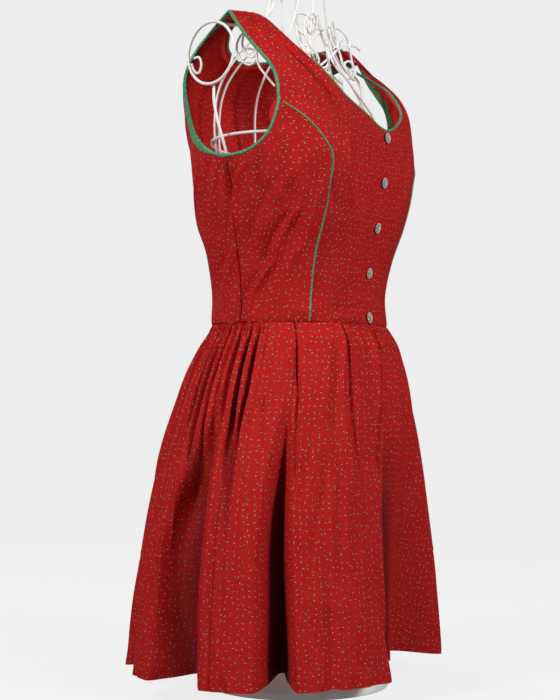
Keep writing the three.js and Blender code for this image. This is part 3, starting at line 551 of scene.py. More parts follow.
def bodice_relief(turn, z):
    turn = half_turns(turn)
    relief = 1.7 * ripple(turn, z, 4) * smooth((z - WAIST) / 12)
    for fold in BODICE_FOLDS:
        turn_a, z_a, turn_b, z_b, half_width, height = fold
        left = (-turn_a - 2.5, z_a - 4, -turn_b + 1.5, z_b + 5, half_width * 1.15, height)
        relief = relief + fold_line(turn, z, fold, RIGHT_FOLDS, BODICE_MM_PER_TURN)
        relief = relief + fold_line(turn, z, left, LEFT_FOLDS, BODICE_MM_PER_TURN)
    side = np.minimum(np.abs(turn - SIDE_SEAM), np.abs(turn + SIDE_SEAM)) * BODICE_MM_PER_TURN
    seam = bell(side, 1.6) * (z < UNDERARM)
    pucker = 0.35 * np.sin(z * 0.55 + np.sin(z * 0.13) * 3) * bell(side, 7) * (z < UNDERARM)
    return relief - 1.1 * seam + pucker - 0.8 * bell(z - WAIST, 2.6)


def even_columns(top_of, count):
    """Columns closer together where the upper edge is steep."""
    u = np.linspace(0, 1, 400)
    tops = np.array([top_of(value) for value in u])
    pace = 1.0 + np.abs(np.gradient(tops, u)) / 260.0
    path = np.concatenate([[0], np.cumsum((pace[1:] + pace[:-1]) / 2)])
    return np.interp(np.linspace(0, path[-1], count), path, u)


def armhole_back_turn(z):
    return np.where(z <= UNDERARM, SIDE_SEAM, along(ARMHOLE_BACK, z))


def panel_grid(turn_of, top_of, count, rows, sink_of=None):
    """Points, unit normals and cloth coordinates of a bodice panel, in columns."""
    columns = even_columns(top_of, count)
    tops = np.array([top_of(u) for u in columns])
    v = np.linspace(0, 1, rows)
    z = WAIST + (tops[:, None] - WAIST) * v[None, :]
    u = np.repeat(columns[:, None], rows, 1)
    turn = turn_of(u, z)
    normal = bodice_normal(turn, z)
    point = bodice_point(turn, z)
    round_ = np.abs(half_turns(turn))
    hole = np.where(round_ < SIDE_SEAM, along(FRONT_PANEL, z) - np.abs(point[..., 0]),
                    (round_ - armhole_back_turn(z)) * 2.4)
    calm = np.where(z > PRINCESS_TOP - 40, 0.3 + 0.7 * smooth(hole / 22), 1.0)
    point = point + normal * (bodice_relief(turn, z) * calm)[..., None]
    if sink_of is not None:
        point = point - normal * sink_of(turn, point[..., 0])[..., None]
    upper = z > SEAM_TOP
    front = round_ < 90
    point[..., 1] = np.where(upper & front, np.minimum(point[..., 1], -0.15), point[..., 1])
    point[..., 1] = np.where(upper & ~front, np.maximum(point[..., 1], 0.15), point[..., 1])
    across = np.linalg.norm(np.diff(point, axis=0), axis=-1)
    up = np.linalg.norm(np.diff(point, axis=1), axis=-1)
    cloth_x = np.concatenate([np.zeros((1, rows)), np.cumsum(across, 0)], 0)
    cloth_z = np.concatenate([np.zeros((count, 1)), np.cumsum(up, 1)], 1)
    cloth_z = z - WAIST + (cloth_z.mean(0, keepdims=True) - (z - WAIST).mean(0, keepdims=True))
    return point, normal, np.stack([cloth_x, cloth_z], -1)


def grid_faces(count, rows, first=0):
    """Four-sided faces between the points of a grid, column by column."""
    start = first + (np.arange(count - 1)[:, None] * rows + np.arange(rows - 1)).ravel()
    return np.stack([start, start + rows, start + rows + 1, start + 1], 1)


def shaded(thing, degrees):
    bpy.context.view_layer.objects.active = thing
    thing.select_set(True)
    bpy.ops.object.shade_smooth_by_angle(angle=math.radians(degrees))
    thing.select_set(False)


def applied(thing, name, kind, **settings):
    """A modifier, set and applied."""
    bpy.context.view_layer.objects.active = thing
    modifier = thing.modifiers.new(name, kind)
    for key, value in settings.items():
        setattr(modifier, key, value)
    bpy.ops.object.modifier_apply(modifier=name)


def mesh_object(name, points, faces, uv, materials):
    """An object from points in mm, with a UV of the flat cloth in metres."""
    data = bpy.data.meshes.new(name)
    data.from_pydata((points.reshape(-1, 3) * MM).tolist(), [], faces)
    layer = data.uv_layers.new(name="cloth")
    layer.data.foreach_set("uv", (uv * MM).astype(np.float32).ravel())
    for material in materials:
        data.materials.append(material)
    return new_object(name, data)


def sheet_object(name, point, cloth, wall, depth=None):
    """A cloth piece from a grid of points, printed outside and plain inside."""
    faces = grid_faces(*point.shape[:2])
    uv = cloth.reshape(-1, 2)[faces.ravel()]
    piece = mesh_object(name, point, faces.tolist(), uv, (cotton, reverse))
    # The fold_depth attribute holds painted shade for the skirt's folds; pieces given no depth get none.
    painted_shade = piece.data.attributes.new("fold_depth", "FLOAT", "POINT")
    if depth is not None:
        painted_shade.data.foreach_set("value", depth.astype(np.float32).ravel())
    applied(piece, "wall", "SOLIDIFY", thickness=wall * MM, offset=-1.0, use_even_offset=False,
            material_offset=1)
    shaded(piece, 50)
    return piece


def belongs(piece, node=None):
    """The piece rides on the one body, and may replace a solid."""
    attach(piece, "root")
    if node:
        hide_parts(node)


def seam_shift(z):
    return np.degrees(0.15 / along(BODICE, z, 1))


def princess_turn(z):
    return turn_at(along(FRONT_PANEL, z), z)


def front_x(side, u, z):
    return (-LAP + (along(FRONT_PANEL, z) + LAP) * u) * side


def front_top(side, u):
    def over(z):
        return along(NECK_FRONT, z) > np.abs(front_x(side, u, z))
    edge = first_height(over, NECK_FRONT_LOW, SHOULDER)
    if side > 0:
        edge -= 6.0 * (1 - smooth((front_x(side, u, edge) - LAP) / 5.0))
    return float(edge)


def front_grid(side):
    def turn_of(u, z):
        return turn_at(front_x(side, u, z), z)

    def under_the_lap(turn, x):
        return UNDERLAP * (1 - smooth((x - LAP) / 18.0)) if side > 0 else x * 0

    grids = panel_grid(turn_of, lambda u: front_top(side, u), *FRONT_COUNTS, under_the_lap)
    return grids if side > 0 else tuple(g[::-1] for g in grids)


def armhole_front_z(turn):
    return along(np.stack([-ARMHOLE_FRONT[:, 1], ARMHOLE_FRONT[:, 0]], 1), -turn)


def side_grid(side):
    def turn_of(u, z):
        inner = princess_turn(z) + 2 * seam_shift(z)
        return side * (inner + (SIDE_SEAM + SIDE_LAP - inner) * u)

    def under_the_back(turn, x):
        return SIDE_TUCK * smooth((np.abs(turn) - SIDE_SEAM + 0.9) / 0.8)

    def top_of(u):
        def over(z):
            return z > armhole_front_z(np.abs(turn_of(u, z)))
        return first_height(over, UNDERARM, PRINCESS_TOP)

    grids = panel_grid(turn_of, top_of, *SIDE_COUNTS, under_the_back)
    return grids if side > 0 else tuple(g[::-1] for g in grids)


def back_grid():
    def turn_of(u, z):
        edge = armhole_back_turn(z) + np.where(z <= UNDERARM, seam_shift(z), 0)
        return edge + (360 - 2 * edge) * u

    def top_of(u):
        def over(z):
            return along(NECK_BACK, z) > np.abs(bodice_point(turn_of(u, z), z)[..., 0])
        return first_height(over, NECK_BACK_LOW, SHOULDER)
    return panel_grid(turn_of, top_of, *BACK_COUNTS)


front_right, front_left = front_grid(-1), front_grid(1)
side_right, side_left = side_grid(-1), side_grid(1)
back = back_grid()
BODICE_CUTS = {
    "bodice_front_right": (front_right, (0.20, 0.45), 0.056),
    "bodice_front_left": (front_left, (0.20, 0.45), 0.055),
    "bodice_side_right": (side_right, (0.15, 0.29), 0.0325),
    "bodice_side_left": (side_left, (0.15, 0.29), 0.032),
    "bodice_back": (back, (0.46, 0.45), 0.16),
}
for node, (grids, cut, cut_area) in BODICE_CUTS.items():
    piece = sheet_object(node + "_cloth", grids[0], grids[2], CLOTH_WALL)
    belongs(piece, node)

# The bindings and pipings: bias-cut green cotton satin, folded over the edge
# of each armhole and of the neck, and laid as a fine cord along the princess
# seams. Inside each armhole the same satin faces the edge, a little ragged.
SATIN_PITCH = 0.9
STRIP_STEP = 2.2
LAY_REACH = 9.0
PRINCESS_END_TURN = 69.0
TOP_ROW = (slice(None), -1)


def green_satin():
    material, tree, shader, cloth = cloth_start("green_satin")
    bias = turned(tree, cloth, 0.8)
    drawn = vectors(tree, "MULTIPLY", bias, (1.0, 0.22, 1.0)).outputs[0]
    streaks = noise(tree, drawn, 1.1, 5.0, "2D")
    share = stretch(tree, streaks, 0.38, 0.66)
    colour = blend_colour(tree, share, (0.020, 0.19, 0.075, 1), (0.10, 0.42, 0.20, 1))
    coat(tree, shader, colour, stretch(tree, streaks, 0.3, 0.7, 0.30, 0.5))
    weave_bump(tree, shader, drawn, SATIN_PITCH, 0.6, streaks)
    set_values(shader, Sheen_Weight=0.2)
    return material


satin = green_satin()


def path_length(points):
    return np.concatenate([[0], np.cumsum(np.linalg.norm(np.diff(points, axis=0), axis=1))])


def across_edge(points, normals, closed):
    """The unit vectors in the cloth's plane that are square to an edge."""
    if closed:
        after, before = np.roll(points, -1, 0), np.roll(points, 1, 0)
    else:
        after, before = np.vstack([points[1:], points[-1:]]), np.vstack([points[:1], points[:-1]])
    return unit(np.cross(normals, unit(after - before)))


def resample(points, normals, closed):
    """The same edge with its points a fixed step apart, evened out a little."""
    both = np.hstack([points, normals])
    if closed:
        both = np.vstack([both, both[:1]])
    length = path_length(both[:, :3])
    keep = np.concatenate([[True], np.diff(length) > 1e-6])
    both, length = both[keep], length[keep]
    count = max(int(round(length[-1] / STRIP_STEP)), 8)
    at = np.linspace(0, length[-1], count + 1)[:count if closed else count + 1]
    both = np.stack([np.interp(at, length, column) for column in both.T], 1)
    for _ in range(3):
        if closed:
            both = (np.roll(both, 1, 0) + 2 * both + np.roll(both, -1, 0)) / 4
        else:
            both[1:-1] = (both[:-2] + 2 * both[1:-1] + both[2:]) / 4
    return both[:, :3], unit(both[:, 3:])


def cloth_surface(*panels):
    """The outer faces of some panels as one tree, to lay a strip on."""
    places = []
    faces = []
    for point, _, _ in panels:
        faces += grid_faces(*point.shape[:2], len(places)).tolist()
        places += [Vector(p) for p in point.reshape(-1, 3)]
    return BVHTree.FromPolygons(places, faces)


def lay_on(surface, ring, out, normals):
    """A row of a strip laid on the cloth, at a height out of it."""
    laid = np.array(ring)
    for i, place in enumerate(ring):
        found, facing, _, distance = surface.find_nearest(Vector(place))
        if found is not None and distance < LAY_REACH and facing.dot(Vector(normals[i])) > 0.3:
            laid[i] = np.array(found) + np.array(facing) * out
        else:
            laid[i] = place + normals[i] * out
    return laid


def strip_object(name, edge, profile, side, closed, material, wobble=0.0, surface=None, widen=0.0):
    """A strip swept along an edge. Each corner of the profile is (off the edge, out of the cloth)."""
    points, normals = edge
    square = across_edge(points, normals, closed) * side
    length = path_length(points)
    unevenness = 1 + wobble * np.sin(length * 0.21) + 0.7 * wobble * np.sin(length * 0.47 + 1.3)
    behind = smooth((points[:, 1] - 30) / 50)
    unevenness = unevenness + widen * behind * (1 + 0.2 * np.sin(length * 0.6))
    rings = []
    runs = [0.0]
    for j, (off, out) in enumerate(profile):
        ring = points + square * (off * unevenness)[:, None]
        if surface is not None and off < -1.0:
            ring = lay_on(surface, ring, out, normals)
        else:
            ring = ring + normals * out
        rings.append(ring)
        if j:
            runs.append(runs[-1] + math.hypot(off - profile[j - 1][0], out - profile[j - 1][1]))
    runs.append(runs[-1] + 1.0)
    count, rows = len(points), len(profile)
    faces = []
    uv = []
    for i in range(count if closed else count - 1):
        k = (i + 1) % count
        for j in range(rows):
            m = (j + 1) % rows
            faces.append((i * rows + j, k * rows + j, k * rows + m, i * rows + m))
            for run, ahead in ((j, 0.0), (j, 2.0), (j + 1, 2.0), (j + 1, 0.0)):
                uv.append((length[i] + ahead, runs[run]))
    if not closed:
        faces.append(tuple(range(rows)))
        faces.append(tuple((count - 1) * rows + j for j in reversed(range(rows))))
        uv += [(0.0, float(j)) for j in range(rows)] * 2
    piece = mesh_object(name, np.stack(rings, 1), faces, np.array(uv), (material,))
    mesh = bmesh.new()
    mesh.from_mesh(piece.data)
    bmesh.ops.recalc_face_normals(mesh, faces=mesh.faces)
    mesh.to_mesh(piece.data)
    mesh.free()
    shaded(piece, 60)
    return piece


def rounded(half_width, height, base, count):
    """A low half-round profile that lies on the cloth."""
    angles = np.linspace(0, math.pi, count)
    return [(half_width * math.cos(a), base + height * math.sin(a)) for a in angles]


def fold_profile(outer, inner, cloth):
    """A binding folded round an edge, its legs on both faces of the cloth."""
    wall = CLOTH_WALL
    return [
        (-outer, 0.15), (-outer + 0.3, 0.55 + cloth), (-outer * 0.4, 0.75 + cloth), (0.2, 0.6 + cloth),
        (1.3, 0.1), (1.7, -0.8), (1.2, -wall - 0.5), (0.0, -wall - 1.1), (-inner * 0.5, -wall - 1.3),
        (-inner, -wall - 1.2), (-inner, -wall - 0.35), (0.15, -wall - 0.2), (0.5, -0.8), (0.15, 0.12),
    ]


def edge_of(grids, at):
    return grids[0][at], grids[1][at]


def part_of(edge, chosen, backwards=True):
    return tuple(e[chosen][::-1] if backwards else e[chosen] for e in edge)


def joined(*edges):
    return np.concatenate([e[0] for e in edges]), np.concatenate([e[1] for e in edges])


def princess_end():
    return bodice_point(PRINCESS_END_TURN, np.array(PRINCESS_TOP))[2]


def armhole_edge(side):
    front, under = (front_left, side_left) if side > 0 else (front_right, side_right)
    outer, inner = (-1, 0) if side > 0 else (0, -1)
    front_edge, back_edge = edge_of(front, outer), edge_of(back, inner)
    start = int(np.argmax(front_edge[0][:, 2] > princess_end() + 1.0))
    first = int(np.argmax(back_edge[0][:, 2] > UNDERARM + 0.5))
    from_back = slice(-4, None, -1) if side > 0 else slice(3, None)
    return resample(*joined(
        part_of(edge_of(under, TOP_ROW), from_back, False),
        part_of(front_edge, slice(start, None), False),
        part_of(back_edge, slice(first, None)),
    ), True)


bodice_surface = cloth_surface(front_right, front_left, side_right, side_left, back)
facing_profile = [(off, -CLOTH_WALL - deep) for off, deep in (
    (-2.6, 0.7), (-6.0, 0.6), (-11.2, 0.5), (-11.4, 1.2), (-6.0, 1.4), (-2.6, 1.5))]
for side, hand in ((-1, "right"), (1, "left")):
    edge = armhole_edge(side)
    binding = strip_object(
        f"armhole_binding_{hand}_satin", edge, fold_profile(2.6, 3.2, 0.35), side * -1, True, satin,
        surface=bodice_surface, widen=2.2)
    belongs(binding, f"armhole_binding_{hand}")
    facing = strip_object(
        f"armhole_facing_{hand}", edge, facing_profile, side * -1, True, satin, wobble=0.09,
        surface=bodice_surface)
    belongs(facing)


def neck_edge():
    right, left, behind = (edge_of(grids, TOP_ROW) for grids in (front_right, front_left, back))
    on_right, on_left, on_back = (
        np.abs(edge[0][:, 0]) < NECK_AT_SHOULDER - 0.5 for edge in (right, left, behind))
    on_left = on_left & (left[0][:, 0] > LAP + 4)
    return resample(*joined(
        part_of(right, on_right), part_of(behind, on_back), part_of(left, on_left)), False)


neck_piping = strip_object(
    "neck_piping_satin", neck_edge(), fold_profile(1.5, 1.9, 0.25), -1, False, satin)
belongs(neck_piping, "neck_piping")

for hand, grids, column in (("right", front_right, 0), ("left", front_left, -1)):
    edge = edge_of(grids, column)
    edge = resample(*part_of(edge, edge[0][:, 2] < princess_end() - 1.5, False), False)
    cord = strip_object(
        f"princess_piping_{hand}_satin", edge, rounded(1.15, 1.4, 0.0, 7), 1, False, satin)
    belongs(cord, f"princess_piping_{hand}")

# The back neck facing: a printed strip inside the back of the neck, hemmed
# along its lower edge, which hangs a little uneven and rumpled.
facing_points, facing_normals, facing_cloth = (g[16:-16, -44:-2] for g in back)
hang = np.linspace(1, 0, facing_points.shape[1])[None, :]
run = np.linspace(0, 1, facing_points.shape[0])[:, None]
rumple = 1.3 * hang * (np.sin(run * 34) + 0.7 * np.sin(run * 71 + 1) + 1.6)
inside = facing_points - facing_normals * (CLOTH_WALL + 0.9 + rumple)[..., None]
inside[..., 2] += hang * 2.5 * np.sin(run * 19 + 0.6)
neck_facing = sheet_object("back_neck_facing_cloth", inside[::-1], facing_cloth[::-1], 0.8)
belongs(neck_facing, "back_neck_facing")

# The skirt: a front and a back breadth, sewn into the waist. The front is laid
# in knife pleats; the sides and the back are shirred into a narrow band that
# opens into small gathers and then deep tubular folds. The hem is turned up.
HEM = 30.0
SKIRT_SEAM = 86.0
GATHERS_START = 76.0
GATHERS_PER_TURN = 72.0
GATHERS_FADE = 4.0
HEM_LIFT = 0.16
TUCK = 182.0
SKIRT_TOP = 497.7
SEAM_LAP = 1.1
SEAM_TUCK = 1.9
SKIRT_WALL = 1.2
PRINT_STEP = 37.0
SKIRT_MM_PER_TURN = 3.3

# z, half width, front depth, back depth, squareness, gather
SKIRT = np.array([
    (30, 246, 193, 234, 0, 0),
    (150, 236, 178, 221, 0.02, 0.6),
    (254, 221, 165, 201, 0.05, 2.5),
    (325, 203, 156, 184, 0.08, 5),
    (394, 180, 147, 163, 0.12, 6.5),
    (432, 166, 140, 149, 0.16, 6),
    (466, 151, 131, 130, 0.2, 4),
    (486, 140, 120, 115, 0.24, 1.5),
    (497.7, 135, 112, 110, 0.25, 0.4),
])
FOLD_HEIGHTS = np.array([30, 254, 400, 498.0])
# Edge, reach and depth at each of those heights, the way the fold runs, and its share going in.
FOLDS = [
    ((-53, -54.5, -55.5, -56), (17, 15, 9, 5), (76, 40, 4, 1), -1, 0.52),
    ((-28, -26, -24, -23.5), (12, 12, 10, 6), (3, 6, 6, 2), 1, 0.25),
    ((-20, -16, -7.5, 13), (60, 42, 20, 8), (60, 30, 9, 2), 1, 0.28),
    ((0, -2, 4, 16), (42, 34, 16, 6), (75, 26, 2, 0), 1, 0.75),
    ((-45, -45, -44, -44), (8, 6, 4, 3), (7, 3, 0, 0), 1, 0.5),
    ((-90, -91, -90, -90), (26, 22, 8, 4), (56, 34, 5, 1), -1, 0.45),
    ((-128, -128, -127, -126), (18, 16, 8, 4), (34, 18, 3, 0), -1, 0.5),
    ((-155, -154, -153, -152), (16, 15, 8, 4), (48, 26, 4, 0), -1, 0.5),
    ((-182, -181, -180, -180), (18, 14, 8, 4), (36, 20, 3, 0), -1, 0.5),
    ((151, 152, 153, 154), (20, 17, 8, 4), (52, 28, 4, 0), -1, 0.5),
    ((122, 123, 124, 124), (16, 14, 8, 4), (38, 20, 3, 0), -1, 0.5),
    ((89, 90, 90, 90), (17, 15, 8, 4), (50, 32, 5, 1), 1, 0.35),
    ((55, 56, 57, 57), (15, 12, 8, 5), (58, 30, 8, 2), 1, 0.3),
    ((24, 27, 31, 33), (8, 8, 9, 6), (0, 3, 5, 2), -1, 0.25),
]


def fold_depth(turn, z):
    deep = np.zeros(np.broadcast(turn, z).shape)
    for edge, reach, depth, way, turn_in in FOLDS:
        table = np.stack([FOLD_HEIGHTS, edge, reach, depth], 1)
        away = (turn - along(table, z, 1)) * way
        away = away - 360 * np.round((away - 60) / 360)
        share = away / along(table, z, 2)
        part = np.where(share < turn_in, share / turn_in, (1 - share) / (1 - turn_in))
        amount = np.maximum(along(table, z, 3), 0) * np.sin(np.clip(part, 0, 1) * np.pi / 2) ** 2
        deep = deep + np.where((share > 0) & (share < 1), amount, 0)
    return deep


def crest(phase):
    return 0.5 - 0.5 * np.cos(phase)


def skirt_inwards(turn, z, fine=True):
    """How far the deep folds, and then the gathers, go in from the outer section, in mm."""
    round_ = np.abs(half_turns(turn))
    gathered = smooth((round_ - GATHERS_START) / GATHERS_FADE)
    phase = np.radians(turn * GATHERS_PER_TURN)
    if not fine:
        return fold_depth(turn, z), gathered * along(SKIRT, z, 5) * crest(phase)
    angle = np.radians(turn)
    drift = 0.55 * np.sin(angle * 11 + 0.6) + 0.45 * np.sin(angle * 23 + z * 0.004)
    wave = crest(phase + drift) ** 1.9
    broad = crest(phase / 2 + 1.7 * drift) ** 1.6
    open_out = smooth((z - 280) / 120)
    wave = wave * (0.12 + 0.88 * open_out) + broad * (1 - open_out) * smooth((z - 60) / 200) * 0.8
    strength = 0.8 + 0.5 * np.sin(angle * 17 + 2) * smooth((490 - z) / 60)
    gather = (along(SKIRT, z, 5) * 2.0 + 2.4 * smooth((492 - z) / 20)) * wave * strength
    small = crest(phase * 2 + 1.1 + 0.8 * np.sin(angle * 31))
    gather = gather + 2.8 * small * smooth((z - 405) / 50) * smooth((499 - z) / 12)
    tiny = crest(phase * 4.3 + 0.7 * np.sin(angle * 47))
    gather = gather + 1.4 * tiny * smooth((z - 474) / 10)
    row = bell(z - 488.5, 1.3) + bell(z - 494.5, 1.2)
    return fold_depth(turn, z), gathered * (gather + 0.7 * row)


def skirt_point(turn, z, fine=True):
    turn, z = np.broadcast_arrays(np.asarray(turn, float), np.asarray(z, float))
    angle = np.radians(turn)
    is_front = np.cos(angle) > 0
    share = np.where(is_front, 1.0, BACK_SQUARENESS)
    width = along(SKIRT, z, 1)
    depth = np.where(is_front, along(SKIRT, z, 2), along(SKIRT, z, 3))
    flat = along(SKIRT, z, 4) * share
    sine = np.sin(angle)
    x = width * sine
    y = -depth * np.cos(angle) * (1 + flat * sine * sine)
    inwards = sum(skirt_inwards(turn, z, fine))
    reach = np.hypot(x, y)
    scale = (reach - inwards) / reach
    low = smooth((WAIST - z) / (WAIST - HEM))
    return np.stack([x * scale, y * scale, z + fold_depth(turn, z) * HEM_LIFT * low * low], -1)


# Soft folds and creases in the skirt, as in the bodice.
SKIRT_FOLDS = [
    (-61.7, 502, -57.3, 400, 2.2, -3.6), (-57.3, 416, -54.5, 270, 2.8, -3.2),
    (-60.5, 496, -55, 330, 3.5, 1.5), (-29, 503, -29.2, 400, 2.2, -4.4),
    (-29.2, 415, -25.5, 290, 2.8, -3.4), (-31, 497, -30.8, 330, 4, 1.8), (2, 503, -9, 400, 2.2, -4.6),
    (-9, 415, -15.4, 290, 2.8, -4), (6, 497, -14.1, 370, 4, 1.6), (-42, 290, -44.4, 40, 3.6, -1.3),
    (-104, 290, -105, 50, 12, -8), (-11, 270, -12, 34, 7, -8), (-73.6, 400, -70.7, 330, 7, -2.6),
    (-40, 480, -39, 300, 7, 1.4), (-35, 470, -36, 330, 5, -1.1), (-30, 492, -30, 400, 4, 1.6),
    (-12, 488, -14, 380, 6, -1.4), (-6, 490, -9, 330, 6, 1.8), (4, 486, 6, 350, 6, -1.6),
    (-34, 250, -33, 34, 5, -1), (-37, 300, -36, 40, 8, 1.6), (-48, 340, -47, 60, 9, -1.6),
    (-30, 300, -26, 60, 10, 1.5), (-76, 420, -80, 120, 10, 1.8), (-84, 330, -86, 60, 8, -1.6),
    (-100, 420, -101, 160, 9, 2.2), (-112, 380, -114, 60, 10, -2.4), (-118, 360, -119, 80, 9, 1.8),
    (-62, 470, -60, 420, 5, 0.8), (26, 470, 30, 260, 8, 1.8), (38, 420, 36, 140, 8, -1.6),
    (46, 400, 45, 80, 9, 1.6), (74, 400, 72, 90, 9, 1.6), (104, 420, 106, 120, 10, 2),
    (138, 400, 137, 80, 10, -2), (165, 420, 166, 100, 10, 1.8), (-166, 400, -167, 90, 10, 2),
    (-141, 420, -140, 100, 9, -1.8), (-52, 150, -30, 130, 6, 0.9),
]


def skirt_relief(turn, z):
    turn = half_turns(turn)
    relief = ripple(turn, z, 9) * 1.6 * smooth((WAIST - z) / 30)
    for fold in SKIRT_FOLDS:
        relief = relief + fold_line(turn, z, fold, 1.5, SKIRT_MM_PER_TURN)
    tuck = z - TUCK - 3 * np.sin(np.radians(turn) * 5)
    relief = relief + 0.7 * bell(tuck, 1.4) - 0.5 * bell(tuck + 4, 2.2)
    stitched = z - HEM - 26
    relief = relief - 0.55 * bell(stitched, 1.1) + 0.25 * bell(stitched + 12, 9)
    wavy = np.sin(np.radians(turn) * 37 + 1.2) + 0.8 * np.sin(np.radians(turn) * 59)
    relief = relief + smooth((HEM + 22 - z) / 22) * 0.9 * wavy
    return relief - 0.7 * bell(z - SKIRT_TOP, 2.4)


def skirt_grid(turn_from, turn_to, count, rows):
    fine = np.linspace(turn_from, turn_to, 2000)
    round_ = np.abs(half_turns(fine))
    pace = np.cumsum(1.0 + 0.7 * smooth((round_ - 74) / 4) * smooth((152 - round_) / 30))
    turn = np.interp(np.linspace(pace[0], pace[-1], count), pace, fine)[:, None]
    v = np.linspace(0, 1, rows)[None, :]
    z = HEM + (SKIRT_TOP - HEM) * (1 - (1 - v) ** 1.12)
    turn, z = np.broadcast_arrays(turn, z)
    normal = outward(lambda t, h: skirt_point(t, h, False), turn, z, HEM, SKIRT_TOP)
    point = skirt_point(turn, z) + normal * skirt_relief(turn, z)[..., None]
    if turn_to > 180:
        edge = np.minimum(turn - turn_from, turn_to - turn)
        point = point - normal * (SEAM_TUCK * (1 - smooth((edge - SEAM_LAP) / 1.6)))[..., None]
    return turn, z, point


def skirt_cloth(turn, z, point, breaks):
    """Cloth coordinates that run on their own between the deep lines of the folds."""
    across = np.linalg.norm(np.diff(point[..., :2], axis=0), axis=-1)
    path = np.concatenate([np.zeros((1, point.shape[1])), np.cumsum(across, 0)], 0)
    cloth = np.zeros(point.shape[:2] + (2,))
    bounds = [turn[0, 0], *breaks, turn[-1, 0]]
    piece_of = np.searchsorted(np.array(breaks), turn, side="right")
    for k in range(len(bounds) - 1):
        centre = (bounds[k] + bounds[k + 1]) / 2
        i = int(np.argmin(np.abs(turn[:, 0] - centre)))
        own = path - path[i][None, :] + path[i, 0] + PRINT_STEP * k
        cloth[..., 0] = np.where(piece_of == k, own, cloth[..., 0])
    cloth[..., 1] = z - HEM
    return cloth


def skirt_object(node, turn_from, turn_to, count, rows, breaks):
    turn, z, point = skirt_grid(turn_from, turn_to, count, rows)
    deep, gather = skirt_inwards(turn, z)
    # Painted shade: the cloth darkens in the deep folds and, less, in the gathers. Between turns -20 and
    # 45 it is strong before turn 0 and fades after it.
    painted_fold_shade = smooth((deep - 4) / 40)
    open_side = (turn > -20) & (turn < 45)
    painted_fold_shade = np.where(open_side, painted_fold_shade * (1.35 - 1.2 * smooth((turn + 1) / 12)), painted_fold_shade)
    depth = 0.62 * painted_fold_shade + 0.5 * smooth((gather - 2) / 9) * (1 - painted_fold_shade)
    cloth = skirt_cloth(turn, z, point, breaks)
    return sheet_object(node + "_cloth", point, cloth, SKIRT_WALL, depth)


FRONT_BREAKS = [-74.5, -60.0, -25.5, -7.0, 22.0, 36.0, 60.0, 74.5]
BACK_BREAKS = [99.0, 114.0, 143.0, 171.0, 197.0, 224.0, 262.0]
skirt_front = skirt_object("skirt_front", -SKIRT_SEAM, SKIRT_SEAM, 400, 116, FRONT_BREAKS)
skirt_back = skirt_object(
    "skirt_back", SKIRT_SEAM - SEAM_LAP, 360 - SKIRT_SEAM + SEAM_LAP, 520, 92, BACK_BREAKS)
belongs(skirt_front, "skirt_front")
belongs(skirt_back, "skirt_back")

# The buttons: five small antique-silver rosettes, cast with a beaded rim and
# filigree petals round a raised centre, and dark in their hollows. Each sits
# on the right front over a worked buttonhole.
BUTTON_TOP = 750.0
BUTTON_PITCH = 61.0
BUTTON_RADIUS = 7.2
BUTTON_LIFT = 0.5


def antique_silver():
    material, tree, shader = new_material("antique_silver")
    grain = noise(tree, put(tree, "ShaderNodeTexCoord").outputs["Object"], 1400.0, 6.0)
    tarnish = stretch(tree, grain, 0.35, 0.65, 0.55, 1.0)
    colour = blend_colour(tree, tarnish, (0.16, 0.14, 0.13, 1), (0.95, 0.92, 0.90, 1))
    coat(tree, shader, colour, stretch(tree, tarnish, 0, 1, 0.62, 0.26))
    set_values(shader, Metallic=0.35)
    bump(tree, shader, grain, 0.3, 0.0001)
    return material


def tarnished_silver():
    material, tree, shader = new_material("tarnished_silver")
    grain = noise(tree, put(tree, "ShaderNodeTexCoord").outputs["Object"], 900.0)
    colour = blend_colour(tree, grain, (0.010, 0.008, 0.008, 1), (0.06, 0.05, 0.048, 1))
    coat(tree, shader, colour)
    set_values(shader, Metallic=0.7, Roughness=0.6)
    return material


def red_thread():
    material, tree, shader = new_material("red_thread")
    twist = put(tree, "ShaderNodeTexWave")
    set_values(twist, Scale=900.0)
    tree.links.new(put(tree, "ShaderNodeTexCoord").outputs["Object"], twist.inputs["Vector"])
    colour = blend_colour(tree, twist.outputs["Fac"], (0.22, 0.008, 0.01, 1), (0.42, 0.02, 0.02, 1))
    coat(tree, shader, colour)
    set_values(shader, Roughness=0.6)
    return material


def inset_top(thing, steps):
    """Inset the upper face of a cylinder in steps of (inwards, up), in metres."""
    bpy.ops.object.mode_set(mode="EDIT")
    bpy.ops.mesh.select_mode(type="FACE")
    bpy.ops.mesh.select_all(action="DESELECT")
    mesh = bmesh.from_edit_mesh(thing.data)
    for face in mesh.faces:
        face.select = face.normal.z > 0.9
    bmesh.update_edit_mesh(thing.data)
    for inwards, up in steps:
        bpy.ops.mesh.inset(thickness=inwards)
        if up:
            bpy.ops.transform.translate(value=(0, 0, up))
    bpy.ops.mesh.select_all(action="DESELECT")
    bpy.ops.object.mode_set(mode="OBJECT")


def round_bar(name, vertices, radius, depth, centre):
    """An upright cylinder, in metres."""
    bpy.ops.mesh.primitive_cylinder_add(
        vertices=vertices, radius=radius, depth=depth, location=(0, 0, centre))
    bar = bpy.context.object
    bar.name = name
    return bar


